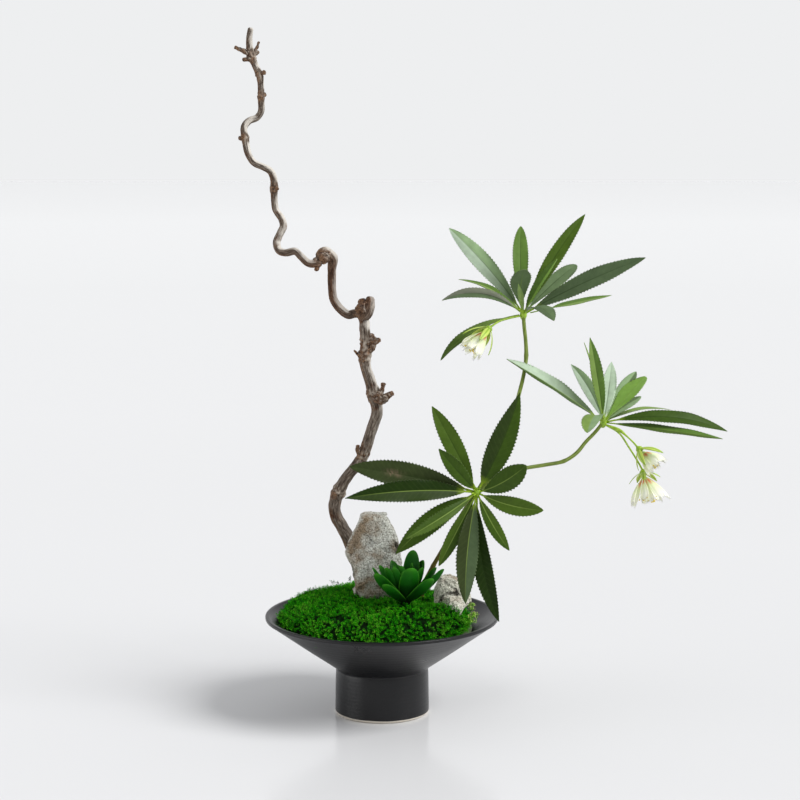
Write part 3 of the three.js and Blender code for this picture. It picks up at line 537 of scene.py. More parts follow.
STANDING_FACETS = [
    [(0.03, -0.1, 1), (-5, -9, 173.6), 0, 999], [(0.05, -0.98, 0.18), (-7, -20, 140), 112, 999],
    [(-0.86, 0, 0.5), (-24.8, -9, 160.6), 0, 999], [(0.93, 0, 0.36), (11, -9, 160), 0, 999],
    [(-0.6, -0.78, 0.12), (-21.5, -17, 146), 0, 999], [(0.62, -0.76, 0.1), (10.5, -15.5, 150), 0, 999],
    [(-0.1, -0.85, -0.5), (-6, -21, 117), 0, 999], [(-0.94, 0, -0.32), (-27.6, -6, 130), 0, 999],
    [(0.2, 0.95, 0.2), (-6, 7.4, 140), 0, 999]]
STANDING_STAINS = [
    [(-11, -14, 171), 7, 0.5], [(-16, -16, 166), 7, 0.5], [(-20, -16, 159), 8, 0.5],
    [(-24, -16, 150), 8.5, 0.5], [(-26, -15, 141), 9, 0.5], [(-26, -14, 131), 9, 0.45],
    [(10, -17, 147), 6, 0.45], [(13, -16, 155), 5, 0.3], [(-8, -22, 105), 14, 0.55],
    [(-22, -16, 113), 12, 0.45], [(4, -20, 120), 9, 0.35], [(0, 6, 140), 22, 0.25]]
STANDING_CRACKS = [
    [[(-24, 112), (-21.5, 107), (-20, 100)], 1.1, 1.6], [[(-26, 107), (-25.5, 103.5)], 4, -3.4],
    [[(10.5, 152), (12.5, 147), (11.5, 141)], 1.0, 1.2], [[(-29, 145), (-25, 149), (-20, 151)], 0.8, 0.5]]
LOW_FACETS = [
    [(0.05, -0.2, 1), (56, -14, 120.2), 108, 999], [(-0.62, -0.7, 0.35), (48.5, -20, 112), 108, 999],
    [(0.1, -0.8, 0.6), (58, -22.5, 115), 108, 999], [(0.75, -0.35, 0.55), (69.5, -14, 113), 108, 999],
    [(-0.55, -0.8, 0.25), (53, -26, 104), 90, 107], [(0.5, -0.8, 0.35), (62, -26.5, 104), 90, 107]]
LOW_CRACKS = [
    [[(48.8, 100.5), (49.8, 104.2), (51.4, 106.8), (54.2, 108.6), (58.6, 109.2), (62.6, 108.2)], 1.1, 2.2],
    [[(53, 117.5), (58.5, 114), (64, 109.5)], 1.3, 0.9]]
STANDING_CHIPS = [(15, 1.1, 2.3, 1.4), (6, 0.6, 1.7, 1.3), (2.4, 0.45, 1.2, 1.5)]
LOW_CHIPS = [(12, 1.0, 2.4, 0.5), (5, 0.5, 1.2, 0.6), (2, 0.35, 0.8, 1.0)]
LOW_STAINS = [[(60, -14, 121), 8, 0.2]]
pale_granite = granite("weathered_pale_granite", "#f2f3ec", "#c4c3b8", "#79756a", "#b09c88")
hewn("standing_slab", "standing_stone", 0.8, STANDING_FACETS, STANDING_CHIPS,
     STANDING_CRACKS, STANDING_STAINS, pale_granite, 4, 4)
grey_granite = granite("broken_grey_granite", "#eeecdf", "#bfbdac", "#6d6c60", "#c2a89c")
hewn("low_lump", "low_stone", 0.7, LOW_FACETS, LOW_CHIPS,
     LOW_CRACKS, LOW_STAINS, grey_granite, 9, 1)


# Branch: a dead twisted branch, weathered grey, with broken twigs and knots. It is one stem that
# winds up from the foam, thick as a finger at the foot and thin as a pencil at the top.
def route(stations, step):
    """Stations [x, y, z, girth] on a smooth curve through the given ones, about a step apart."""
    given_at = np.array(stations, float)
    ends = np.vstack([2 * given_at[0] - given_at[1], given_at, 2 * given_at[-1] - given_at[-2]])
    line = []
    for k in range(1, len(ends) - 2):
        p0, p1, p2, p3 = ends[k - 1:k + 3]
        a, b, c = (max(np.linalg.norm((q - p)[:3]), 1e-4) ** 0.5 for p, q in ((p0, p1), (p1, p2), (p2, p3)))
        leave = ((p1 - p0) / a - (p2 - p0) / (a + b) + (p2 - p1) / b) * b
        arrive = ((p2 - p1) / b - (p3 - p1) / (b + c) + (p3 - p2) / c) * b
        count = max(2, round(np.linalg.norm((p2 - p1)[:3]) / step))
        for t in np.arange(count) / count:
            line.append(p1 * (2 * t ** 3 - 3 * t ** 2 + 1) + leave * (t ** 3 - 2 * t ** 2 + t)
                        + p2 * (3 * t ** 2 - 2 * t ** 3) + arrive * (t ** 3 - t ** 2))
    line.append(ends[-2])
    return np.array(line)


def tube_faces(points, sides):
    """Faces over rings of points with so many sides; a point is added in the middle of each end."""
    rows = len(points) // sides
    faces = []
    for row in range(rows - 1):
        for k in range(sides):
            a, b = row * sides + k, row * sides + (k + 1) % sides
            faces.append((a, b, b + sides, a + sides))
    for row, forward in ((0, False), (rows - 1, True)):
        middle = len(points)
        points.append(np.mean(points[row * sides:(row + 1) * sides], axis=0))
        for k in range(sides):
            a, b = row * sides + k, row * sides + (k + 1) % sides
            faces.append((a, b, middle) if forward else (b, a, middle))
    return faces


def rod(line, sides, relief=None):
    """A round bar on a line of stations, closed by domed ends; also each point's place on its skin
    and how far it stands proud."""
    centre, girth = line[:, :3], line[:, 3]
    along = np.gradient(centre, axis=0)
    along /= np.linalg.norm(along, axis=1)[:, None]
    length = np.concatenate([[0], np.cumsum(np.linalg.norm(np.diff(centre, axis=0), axis=1))])
    side = np.array([1.0, 0, 0]) if abs(along[0][0]) < 0.9 else np.array([0, 1.0, 0])
    turn = np.arange(sides) / sides * 2 * np.pi
    points, skin, proud = [], [], []
    caps = [(-0.5, 0.35), (-0.38, 0.72)], [(0.38, 0.72), (0.5, 0.35)]

    def ring(at, forward, side, girth, reach, run):
        up = np.cross(forward, side)
        for k, t in enumerate(turn):
            out = (cos(t) * side + sin(t) * up) * girth * reach[k]
            points.append(at + out)
            skin.append([cos(t) * girth, sin(t) * girth, run])
            proud.append(reach[k] - 1)

    for i in range(len(line)):
        side = side - along[i] * side.dot(along[i])
        side /= np.linalg.norm(side)
        shape = [1 + (relief(length[i], t, girth[i], centre[i]) if relief else 0) for t in turn]
        before, after = caps[0] if i == 0 else [], caps[1] if i == len(line) - 1 else []
        for ahead, scale in [*before, (0, 1), *after]:
            at = centre[i] + along[i] * ahead * girth[i]
            ring(at, along[i], side, girth[i] * scale, shape, length[i])
    faces = tube_faces(points, sides)
    skin += [[0, 0, skin[0][2]], [0, 0, skin[-1][2]]]
    return points, faces, skin, proud + [0, 0]


BRANCH = [
    [-14, 20, 54, 5.2], [-15, 20, 92, 5.3], [-18.5, 20, 114, 5.2], [-23, 19, 132, 5.3],
    [-29, 18, 147, 5.7], [-34.6, 17, 158, 5.5], [-39, 16, 166, 5.3], [-41, 15, 174, 5.2],
    [-40, 15, 182, 5.1], [-33, 13, 198, 4.9], [-24, 12, 210, 4.8], [-17, 10, 220, 4.8],
    [-14, 8, 228, 4.8], [-9, 6, 244, 4.7], [-4, 4, 260, 4.8], [-5, 3, 268, 4.9],
    [-7, 2, 275, 5], [-9, 1, 284, 4.7], [-14, -3, 303, 4.5], [-13, -5, 318, 4.6],
    [-14, -6, 330, 4.5], [-14.6, -3, 338, 4.4], [-18, 1, 343.4, 4.2], [-23, 5, 343.6, 3.9],
    [-28, 6, 342.4, 3.7], [-34, 7, 346, 3.6],
    [-40, 8, 354, 3.5], [-42, 8, 364, 3.4], [-42, 6, 380, 3.7], [-41.4, 3, 391, 4.6],
    [-47.6, 0, 394, 5], [-52, -3, 388.6, 4], [-57, -6, 386, 3.3], [-62, -7, 387, 3.2],
    [-67, -8, 392, 3.1], [-72, -7, 396.5, 3.1], [-80, -4, 395, 3.1], [-86, -1, 397, 3.1],
    [-88, 2, 403, 3.1], [-85, 5, 411, 3.1], [-82.5, 7, 417, 3.1], [-84, 8, 423, 3],
    [-89, 8, 431, 2.9], [-90, 5, 445, 2.9], [-90, 2, 457, 3], [-93, 0, 463, 2.9],
    [-98, -3, 466, 2.8], [-106, -5, 470, 2.8], [-110.5, -6, 477, 2.8], [-113, -4, 489, 2.9],
    [-114, -1, 499, 2.9], [-110, 3, 504.5, 2.8], [-104, 6, 507, 2.7], [-100.5, 6, 512, 2.7],
    [-100, 3, 523, 2.8], [-100, 0, 535, 2.7], [-101, -3, 542, 2.9], [-105, -2, 551, 2.8],
    [-108, -1, 559, 3.1], [-109, 1, 571, 2.6], [-108, 2, 579.4, 2.4]]
TWIGS = [
    [[-107.5, -1, 558, 2.4], [-114, -3, 561.5, 1.9], [-120.6, -4, 564, 1.4]],
    [[-106.5, -2, 555, 2.2], [-113.6, -6, 554, 1.7]],
    [[-107.5, 0, 558, 2.2], [-102.4, 5, 560.6, 1.7]],
    [[-107.5, 1, 560, 1.6], [-103.4, 5, 564, 1.3], [-101.6, 6, 569, 1]],
    [[-101, -3, 542, 2.3], [-96.2, -5, 544, 1.7]],
    [[-100, 2, 525, 2.4], [-96.6, 3, 526, 1.9]],
    [[-113, -4, 490, 2.2], [-117.6, -2, 490, 1.9]],
    [[-90, 4, 448, 2.2], [-86.8, 2, 448, 1.7]],
    [[-53, -3, 387, 3], [-54.4, -7, 381, 1.9]],
    [[-47, -3, 389.6, 4.2], [-48.6, -6, 391, 4.4], [-49.4, -8, 391.6, 3.2]],
    [[-47.4, -1, 393, 3.8], [-50.4, -3, 395.4, 3]],
    [[-15, -5, 307, 2.4], [-18.6, -7, 308.8, 1.6], [-23.1, -8, 313.4, 0.7]],
    [[-13, -5, 320, 3.8], [-6, -8, 321.4, 3.4], [-1.6, -8, 322, 2]],
    [[-11, -6, 320, 3.4], [-8, -7, 326.6, 2.2]],
    [[-13, -4, 312, 3.6], [-9, -7, 315.4, 3.4], [-6.4, -8, 317.6, 2.6]],
    [[-7, 2, 276, 4.4], [-0.6, -4, 271.6, 4.4], [5, -5, 274.6, 3], [9, -5, 277.4, 1.9]],
    [[-2, -4, 275, 3.4], [0.8, -3, 281, 1.7], [1.4, -3, 284.6, 2.2]],
    [[-17, 8, 222, 2.4], [-20.6, 5, 226, 2.0], [-20.4, 4, 230.6, 1.7]],
    [[-36.6, 14, 189, 4], [-41, 9, 188.4, 3.2]]]
KNOTS = [np.array(twig[0][:3]) for twig in TWIGS]
# Where the stem doubles back it ends one shoot in a smooth club, with rough scars beside it.
CLUB = [[-16.5, -4, 341.8, 4.4], [-12.8, -6, 343.8, 5.2], [-10.8, -6, 349, 5], [-9.9, -5.5, 353.5, 4.2],
        [-9.5, -5, 356.8, 3.7]]
SCARS = [[[-14.5, -6, 346.6, 4.8], [-17.6, -8.5, 348, 5.2], [-19.2, -10, 348.6, 4.2]],
         [[-14, -5, 350, 4.2], [-15.6, -6, 353.4, 3.9], [-16, -6, 355.6, 3]]]


def bark_relief(run, turn, girth, centre):
    """Ridges along the grain, which winds slowly round the branch, and lumps about the knots."""
    wound = turn + run * 0.012
    spot = Vector((cos(wound) * 1.5, sin(wound) * 1.5, run * 0.022))
    ridge = 0.09 * noise.fractal(spot * 1.5, 0.9, 2.1, 4)
    crack = -0.05 * max(0.0, 0.12 - abs(noise.noise(Vector((spot.x * 1.7, spot.y * 1.7, run * 0.03))))) / 0.12
    lump = 0.08 * noise.noise(Vector((spot.x * 0.6, spot.y * 0.6, run * 0.11)))
    near = min(np.linalg.norm(centre - knot) for knot in KNOTS)
    burl = exp(-(near / (girth * 1.1)) ** 2)
    gnarl = noise.noise(Vector((cos(turn) * girth * 0.45, sin(turn) * girth * 0.45, run * 0.4)))
    return ridge + crack + lump + burl * (0.14 + 0.45 * gnarl)


def twig_relief(run, turn, girth, centre):
    """The same grain on a short broken twig, knobbly all over."""
    around = Vector((cos(turn), sin(turn), 0)) * girth * 0.5 + Vector(centre) * 0.5
    return 0.22 * noise.fractal(around, 0.9, 2.1, 3) + 0.3 * noise.noise(around * 1.1)


bark_finish, tree, shader = finish_named("weathered_bark", Roughness=0.85, Specular_IOR_Level=0.25)
# Dry grey-brown bark, purplish brown in the furrows, silvery on the side turned to the key light: painted
# light as well as weathering.
skin = add(tree, "Attribute skin").outputs["Vector"]
proud = add(tree, "Attribute proud").outputs["Fac"]
stretched = add(tree, "Mapping", skin, Scale=(1.0, 1.0, 0.12))
fibres = add(tree, "TexNoise", stretched, 1.3, 8, 0.72)
raised = add(tree, "Math MULTIPLY_ADD", proud, 0.7, fibres)
base = add(tree, "ValToRGB", raised,
           stops=[(0.32, "#1f1610"), (0.68, "#a89d90"), (0.44, "#4d4138"), (0.54, "#74685c")])
broad = add(tree, "TexNoise", skin, 0.13, 3)
rust = add(tree, "MapRange", broad, 0.56, 0.74)
place = add(tree, "TexCoord").outputs["Object"]
height = add(tree, "SeparateXYZ", place).outputs["Z"]
from_band = add(tree, "Math SUBTRACT", height, 0.368)
off_band = add(tree, "Math ABSOLUTE", from_band)
band = add(tree, "MapRange", off_band, 0.034, 0.012, 0, 0.8)
redder = add(tree, "Math MAXIMUM", rust, band)
rusty = add(tree, "Mix MULTIPLY", redder, base, "#c08a5c")
# Painted light: silver where the bark faces the key light, as well as weathered bark, more of it higher up.
sunned = add(tree, "Attribute sunned").outputs["Fac"]
lit_streaks = add(tree, "Math MULTIPLY_ADD", fibres, 1.1, sunned)
lit_and_bleached = add(tree, "MapRange", lit_streaks, 0.74, 1.28)
aloft = add(tree, "MapRange", height, 0.18, 0.32, 0.08, 0.92)
share = add(tree, "Math MULTIPLY", lit_and_bleached, aloft)
bare_share = add(tree, "Math MULTIPLY_ADD", redder, -0.7, 1.0)
kept_share = add(tree, "Math MULTIPLY", share, bare_share)
silver_lit = add(tree, "Mix", kept_share, rusty, "#dad4ca")
# Brown broken wood near the knots and twig ends, and the same brown as painted shade on the side turned from
# the key light.
scars_and_shade = add(tree, "MapRange", sunned, -0.3, -0.9, 0, 0.7)
crumbs = add(tree, "TexNoise", place, 700, 4, 0.7)
wood = add(tree, "ValToRGB", crumbs, stops=[(0.38, "#2b1c14"), (0.66, "#b08a64"), (0.5, "#6b4a34")])
torn_and_shaded = add(tree, "Mix", scars_and_shade, silver_lit, wood)
grooves = add(tree, "Bump", Height=fibres, Strength=0.7, Distance=0.0006)
feed(shader, Base_Color=torn_and_shaded, Normal=grooves)
bars = [rod(route(BRANCH, 0.9), 36, bark_relief)]
bars += [rod(route(CLUB, 0.9), 32, bark_relief)]
bars += [rod(route(twig, 0.5), 20, twig_relief) for twig in TWIGS + SCARS]
bark = piece("twisted_bark_stem", bark_finish, "twisted_branch", bars, "skin proud").data
upward = np.zeros(len(bark.vertices) * 3)
bark.vertex_normals.foreach_get("vector", upward)
# Painted light: how far each point faces the key light, lowered near the knots and twig ends, whose bark is
# brown.
key_light_side = np.array([0.72, -0.1, 0.68])
scars = np.array([station[:3] for twig in TWIGS + SCARS for station in twig])
knotty = [np.linalg.norm(scars - point, axis=1).min() for bar in bars for point in bar[0]]
shaded = 1.6 * np.exp(-(np.array(knotty) / 4.2) ** 2)
lit_side_less_knots = upward.reshape(-1, 3) @ key_light_side - shaded
bark.attributes.new("sunned", "FLOAT", "POINT").data.foreach_set("value", lit_side_less_knots)


# Spray stem: a young green stem that leans out of the moss and forks in two behind the lowest
# leaves. Its bark is smooth, browner towards the foot, with a slight swelling at each node.
MAIN_STEM = [
    [33, 9, 50, 1.9], [33.6, 9, 90, 1.9], [36, 8, 109, 1.9], [44, 5, 126.5, 1.85], [53.8, -3, 146, 1.8],
    [64.2, -22, 170.6, 1.75], [72.7, -39, 189, 1.7], [77.4, -47.4, 197.4, 1.6]]
UPPER_STEM = [
    [70, -34, 183, 1.5], [78, -41.4, 197, 1.6], [86.6, -40.6, 212, 1.65], [95.8, -38, 231.8, 1.65],
    [107.6, -31, 257.6, 1.65], [115, -24, 280.2, 1.65], [119.4, -18, 298, 1.6], [121.1, -12, 309.5, 1.7],
    [120.8, -7, 322, 1.6], [119.7, -2.4, 334, 1.6], [119.3, -0.4, 341.6, 1.6]]
RIGHT_STEM = [
    [70, -34, 183, 1.5], [78, -41.6, 196.4, 1.6], [86, -42.6, 205, 1.6], [96, -41.6, 211, 1.6],
    [108.4, -38, 216.4, 1.6], [121, -34, 218, 1.6], [137.3, -28, 219.6, 1.6], [152.8, -22, 221.7, 1.6],
    [163.8, -16, 227.6, 1.6], [172.1, -9, 235.9, 1.55], [180.4, -4, 243.4, 1.5], [186, -0.9, 249.6, 1.5]]
NODES_ON_STEM = [np.array(p) for p in ([44, 5, 126.5], [121.1, -12, 309.5], [152.8, -22, 221.7])]


def stem_relief(run, turn, girth, centre):
    """A barely ribbed skin with a swelling at each old leaf scar."""
    near = min(np.linalg.norm(centre - scar) for scar in NODES_ON_STEM)
    return (0.04 * noise.noise(Vector((cos(turn) * 1.2, sin(turn) * 1.2, run * 0.05)))
            + 0.14 * exp(-(near / 2.2) ** 2))


stem_finish, tree, shader = finish_named("young_green_bark", Roughness=0.5, Specular_IOR_Level=0.3)
# Olive green on the young wood, browner low down, with fine lengthwise lines.
skin = add(tree, "Attribute skin").outputs["Vector"]
drawn = add(tree, "Mapping", skin, Scale=(1.0, 1.0, 0.08))
lines = add(tree, "TexNoise", drawn, 2.2, 4)
green = add(tree, "ValToRGB", lines, stops=[(0.35, "#566a1c"), (0.7, "#8b9c46")])
place = add(tree, "TexCoord").outputs["Object"]
height = add(tree, "SeparateXYZ", place).outputs["Z"]
low_down = add(tree, "MapRange", height, 0.19, 0.13)
aged = add(tree, "Mix", low_down, green, "#6a6129")
fine_lines = add(tree, "Bump", Height=lines, Strength=0.3, Distance=0.0003)
feed(shader, Base_Color=aged, Normal=fine_lines)
bars = [rod(route(line, 1.2), 18, stem_relief) for line in (MAIN_STEM, UPPER_STEM, RIGHT_STEM)]
piece("forked_green_stem", stem_finish, "spray_stem", bars, "skin")


# Leaf whorls: lance-shaped leaves with fine saw teeth spread from the end of each shoot.
# Leathery blades folded a little along a pale midrib, glossier above than below, where the palest greens
# paint the sheen.
def arched(root, tip, face, arch, bend):
    """The centreline of a blade: at each share u its middle, way forward, upper side and sideways."""
    root, tip, face = np.array(root, float), np.array(tip, float), np.array(face, float)
    chord = tip - root
    length = np.linalg.norm(chord)
    along = chord / length
    flat = face - along * face.dot(along)
    flat /= np.linalg.norm(flat)
    across = np.cross(along, flat)

    def at(u):
        swell, slope = 4 * u * (1 - u) * length, 4 * (1 - 2 * u) * length
        centre = root + chord * u + flat * arch * swell + across * bend * swell
        forward = chord + flat * arch * slope + across * bend * slope
        forward /= np.linalg.norm(forward)
        normal = face - forward * face.dot(forward)
        normal /= np.linalg.norm(normal)
        return centre, forward, normal, np.cross(forward, normal)
    return at, length


def outline(v, widest, fullness):
    """Half width along a blade: nothing at both ends and one at the widest place."""
    v = min(max(v, 0.0), 1.0)
    return (v / widest) ** (fullness * widest) * ((1 - v) / (1 - widest)) ** (fullness * (1 - widest))


def sheet_solid(rows, thickness):
    """A thin closed solid from rows of points [place, upper side], with equal columns in each."""
    count, width = len(rows), len(rows[0])
    points = []
    for layer in (0.5, -0.5):
        for row in rows:
            points += [place + normal * layer * thickness for place, normal in row]
    below = count * width
    faces = []
    for i in range(count - 1):
        for j in range(width - 1):
            a, b = i * width + j, (i + 1) * width + j
            faces.append((a, a + 1, b + 1, b))
            faces.append((a + below, b + below, b + 1 + below, a + 1 + below))
    rim = [j for j in range(width)] + [i * width + width - 1 for i in range(1, count)]
    rim += [(count - 1) * width + j for j in range(width - 2, -1, -1)]
    rim += [i * width for i in range(count - 2, 0, -1)]
    for k, a in enumerate(rim):
        b = rim[(k + 1) % len(rim)]
        faces.append((b, a, a + below, b + below))
    return points, faces


COLUMNS = [-1, -0.9, -0.66, -0.36, -0.1, 0, 0.1, 0.36, 0.66, 0.9, 1]
TOOTH, TOOTH_DEPTH, STALK = 2.9, 1.5, 0.85
VEIN_SPACING, VEIN_SLANT, LEAF_THICKNESS, PETAL_THICKNESS = 5.2, 0.95, 0.36, 0.25
SCUFF_BROWN = "#907866"
# The palest of these greens is a painted sheen, light reflected off a glossy blade; the greens given to a
# leaf's halves and underside partly paint the light and shade on them.
GREENS = dict(wax="#bed2b7", meadow="#8ab550", pale="#8ca77a", light="#7c984d", sage="#627751",
              grey="#526544", bright="#5c7b34", fresh="#47601b", mid="#395212", dull="#364220",
              deep="#2c3d14", dark="#1a2f00", bronze="#7c816e")


def leaf(hub, tip, width, tone, face, arch=0.03, bend=0, fold=8, petiole=0.09, widest=0.5, fullness=1.75,
         under="sage", foot=None, reach=(0.2, 0.55), bruise=None):
    """One leaf as a thin solid, with each point's place on the blade and its colour.

    tone names the greens of its two halves and says whether its midrib is light or dark; foot is
    the green at its stalk end, and reach the shares of the length where that starts and stops fading;
    bruise is the share of the length where a brown scuff lies on the blade."""
    at, length = arched(hub, tip, face, arch, bend)
    lean = radians(fold)
    blade_length = length * (1 - petiole)
    teeth = max(5, round(blade_length / TOOTH))
    stops = [(petiole * s, 0.0, STALK) for s in (0.25, 0.5, 0.75, 1.0)]
    for k in range(teeth):
        for step, nick in ((0.02, 1.0), (0.5, 0.45), (0.88, 0.0)):
            v = (k + step) / (teeth + 0.35)
            half = max((width / 2 + 0.3) * outline(v, widest, fullness), STALK * (1 - 0.5 * v))
            stops.append((petiole + (1 - petiole) * v, nick * min(TOOTH_DEPTH, half * 0.25), half))
    stops.append((1.0, 0.0, 0.3))
    ripple = (sum(tip) * 0.37) % 6.28
    rows, where, share, colours = [], [], [], []
    minus, plus, rib = (tone.split() + [""])[:3] if " " in tone else (tone, tone, "light")
    # The greens of the two halves are partly painted light and shade.
    halves = [linear(GREENS[minus])[:3], linear(GREENS[plus])[:3]]
    for u, nick, half in stops:
        centre, forward, normal, side = at(u)
        row = []
        run = u * length
        body_share = min(1, half / 4)
        for c in COLUMNS:
            x = c * half if abs(c) < 1 else copysign(half - nick, c)
            rise = sqrt(x * x + 0.36) - 0.6
            wave = 0.05 * half * sin(run * 0.16 + ripple + (1.3 if c > 0 else 0)) * c * c
            beat = cos((run - VEIN_SLANT * abs(x)) * 2 * pi / VEIN_SPACING)
            quilt = 0.012 * beat * (1 - c ** 4) * min(1, abs(x))
            groove = -0.25 * exp(-(x / 0.5) ** 2)
            lift = rise * sin(lean) + wave + (quilt + groove) * body_share
            row.append((centre + side * x * cos(lean) + normal * lift, normal))
            where.append([x, run, abs(c)])
            share.append(u)
            mixed = [(p + q) / 2 for p, q in zip(*halves)] if c == 0 else halves[c > 0]
            if foot:
                fade = min(1, max(0, (reach[1] + 0.12 * c - u) / (reach[1] - reach[0])))
                mixed = [p * (1 - fade) + q * fade for p, q in zip(mixed, linear(GREENS[foot]))]
            if bruise:
                rubbed = 0.62 * exp(-((u - bruise) * length / 6) ** 2 - (x / 2.3) ** 2)
                rubbed = min(1, max(0, rubbed * (0.7 + 1.6 * noise.noise(Vector((run * 0.7, x * 1.1, 0))))))
                mixed = [p * (1 - rubbed) + q * rubbed for p, q in zip(mixed, linear(SCUFF_BROWN))]
            colours.append([*mixed, 0.0 if rib == "dark" else 1.0])
        rows.append(row)
    points, faces = sheet_solid(rows, LEAF_THICKNESS)
    below = [[*linear(GREENS[under])[:3], 1.0]] * len(where)
    return points, faces, where * 2, share * 2, colours + below


leaf_finish, tree, shader = finish_named("leathery_leaf", Roughness=0.48, IOR=1.45, Specular_IOR_Level=0.16)
# A waxy skin: a thin midrib, faint side veins, mottled green and a slightly paler margin.
blade_at = add(tree, "Attribute blade").outputs["Vector"]
along_at = add(tree, "Attribute tipward").outputs["Fac"]
tone = add(tree, "Attribute tone")
split = add(tree, "SeparateXYZ", blade_at)
off = add(tree, "Math ABSOLUTE", split.outputs["X"])
midrib = add(tree, "MapRange", off, 0.5, 0.15, 0, 0.6)
fading = add(tree, "MapRange", along_at, 0.95, 0.55, 0.1)
rib_here = add(tree, "Math MULTIPLY", midrib, fading)
slant = add(tree, "Math MULTIPLY_ADD", off, -VEIN_SLANT, split.outputs["Y"])
beat = add(tree, "Math MULTIPLY", slant, 2 * pi / VEIN_SPACING)
swing = add(tree, "Math COSINE", beat)
vein = add(tree, "MapRange", swing, -0.8, -1.0, 0, 0.025)
place = add(tree, "TexCoord").outputs["Object"]
mottle = add(tree, "TexNoise", place, 180, 5)
value = add(tree, "MapRange", mottle, 0.3, 0.7, 0.9, 1.1)
varied = add(tree, "VectorMath SCALE", tone, value)
veined = add(tree, "Mix", vein, varied, "#9fb070")
rib_colour = add(tree, "Mix", tone.outputs["Alpha"], "#24380f", "#8fa850")
ribbed = add(tree, "Mix", rib_here, veined, rib_colour)
margin = add(tree, "MapRange", split.outputs["Z"], 0.94, 1.0, 0, 0.3)
edged = add(tree, "Mix", margin, ribbed, "#b3c78a")
at_stalk = add(tree, "MapRange", along_at, 0.17, 0.06, 0, 0.75)
spring = add(tree, "Mix", at_stalk, edged, "#a3c22f")
pattern_height = add(tree, "Math MULTIPLY_ADD", swing, 0.04, mottle)
waxy = add(tree, "Bump", Height=pattern_height, Strength=0.25, Distance=0.0003)
feed(shader, Base_Color=spring, Normal=waxy)

FRONT_HUB, UPPER_HUB, RIGHT_HUB = (79, -50, 200), (119.2, 0, 343), (187.8, 0, 251.2)
FRONT_FACE = (-0.06, -0.97, 0.24)
# Each leaf: tip, width, greens of its halves and midrib, way its upper side faces, and the rest. The greens
# of the halves partly paint the light and shade on each half.
FRONT_LEAVES = [
    [(42, -30, 269), 16.5, "fresh fresh dark", FRONT_FACE, dict(bend=0.01, widest=0.52)],
    [(47, -64, 238.5), 13.5, "mid mid dark", FRONT_FACE, dict(bend=-0.01)],
    [(-26, -56, 222.5), 22.5, "dull dull dark", FRONT_FACE, dict(bend=0.02, widest=0.53, bruise=0.66)],
    [(-29, -80, 200.5), 18.6, "deep dark light", FRONT_FACE, dict(bend=0.03, widest=0.46)],
    [(12, -60, 150.5), 18.5, "mid mid light", FRONT_FACE, dict(bend=0.04)],
    [(20, -86, 168.5), 11, "fresh mid light", FRONT_FACE, dict(bend=-0.02, widest=0.52)],
    [(47.4, -60, 140.3), 12, "mid fresh light", FRONT_FACE, dict(widest=0.55)],
    [(69, -74, 112), 18.6, "grey dull light", FRONT_FACE, dict(bend=0.03, widest=0.52)],
    [(97.5, -54, 92), 16.5, "dark dark dark", FRONT_FACE, dict(bend=0.052, widest=0.52)],
    [(104, -82, 158), 11, "fresh mid light", FRONT_FACE, dict(bend=0.03, widest=0.55)],
    [(132, -74, 189.5), 15.5, "fresh fresh light", FRONT_FACE, dict(bend=0.055, widest=0.56)],
    [(118, -70, 226), 19.5, "mid mid light", FRONT_FACE, dict(bend=0.06, widest=0.6)],
    [(114, -46, 282.5), 22, "deep mid dark", FRONT_FACE, dict(bend=0.032, widest=0.43)]]
UPPER_LEAVES = [
    [(56, -20, 416), 16.5, "wax pale dark", (-0.2, -0.9, 0.3),
     dict(bend=0.03, fold=-18, widest=0.56, foot="grey", reach=(0.25, 0.65))],
    [(120, 55, 415), 14, "bright bright dark", (0, -0.8, 0.6), dict(bend=-0.015, widest=0.6)],
    [(173, 30, 426), 14, "fresh fresh dark", (-0.2, -0.9, 0.3), dict(bend=-0.02, widest=0.53)],
    [(218, -25, 392), 17, "grey grey dark", (-0.1, -0.9, 0.45), dict(bend=-0.014, widest=0.52)],
    [(198, 45, 356), 12, "bright light light", (-0.1, -0.3, 1), dict(arch=0.005, petiole=0.32, widest=0.45)],
    [(168, 50, 382), 15.5, "sage sage dark", (-0.2, -0.75, 0.6), dict(bend=-0.01, widest=0.66)],
    [(145, -25, 391), 11, "bright meadow light", (-0.5, -0.75, 0.4), dict(fold=34)],
    [(117.5, -34, 383), 19, "mid", (-0.15, 0.6, 0.7),
     dict(bend=0.05, fold=16, widest=0.68, fullness=2.7, under="sage")],
    [(140, -62, 343), 17, "sage grey dark", (0.1, -0.45, 0.9), dict(arch=0.13, petiole=0.12, widest=0.55)],
    [(51, 12, 354), 15, "sage bronze dark", (0.1, -0.55, 0.85), dict(arch=0.2, widest=0.55)],
    [(66, 40, 370), 10, "light bright light", (0.3, -0.4, 0.9), dict(arch=0.09)],
    [(111.5, -53, 372), 4.4, "bright", (0, 0.5, 0.85), dict(widest=0.45, under="light")],
    [(50, 12, 303), 12, "fresh fresh light", (0.2, -0.5, 0.8),
     dict(arch=0.13, fold=20, petiole=0.16, widest=0.6, foot="light", reach=(0.3, 0.7))]]
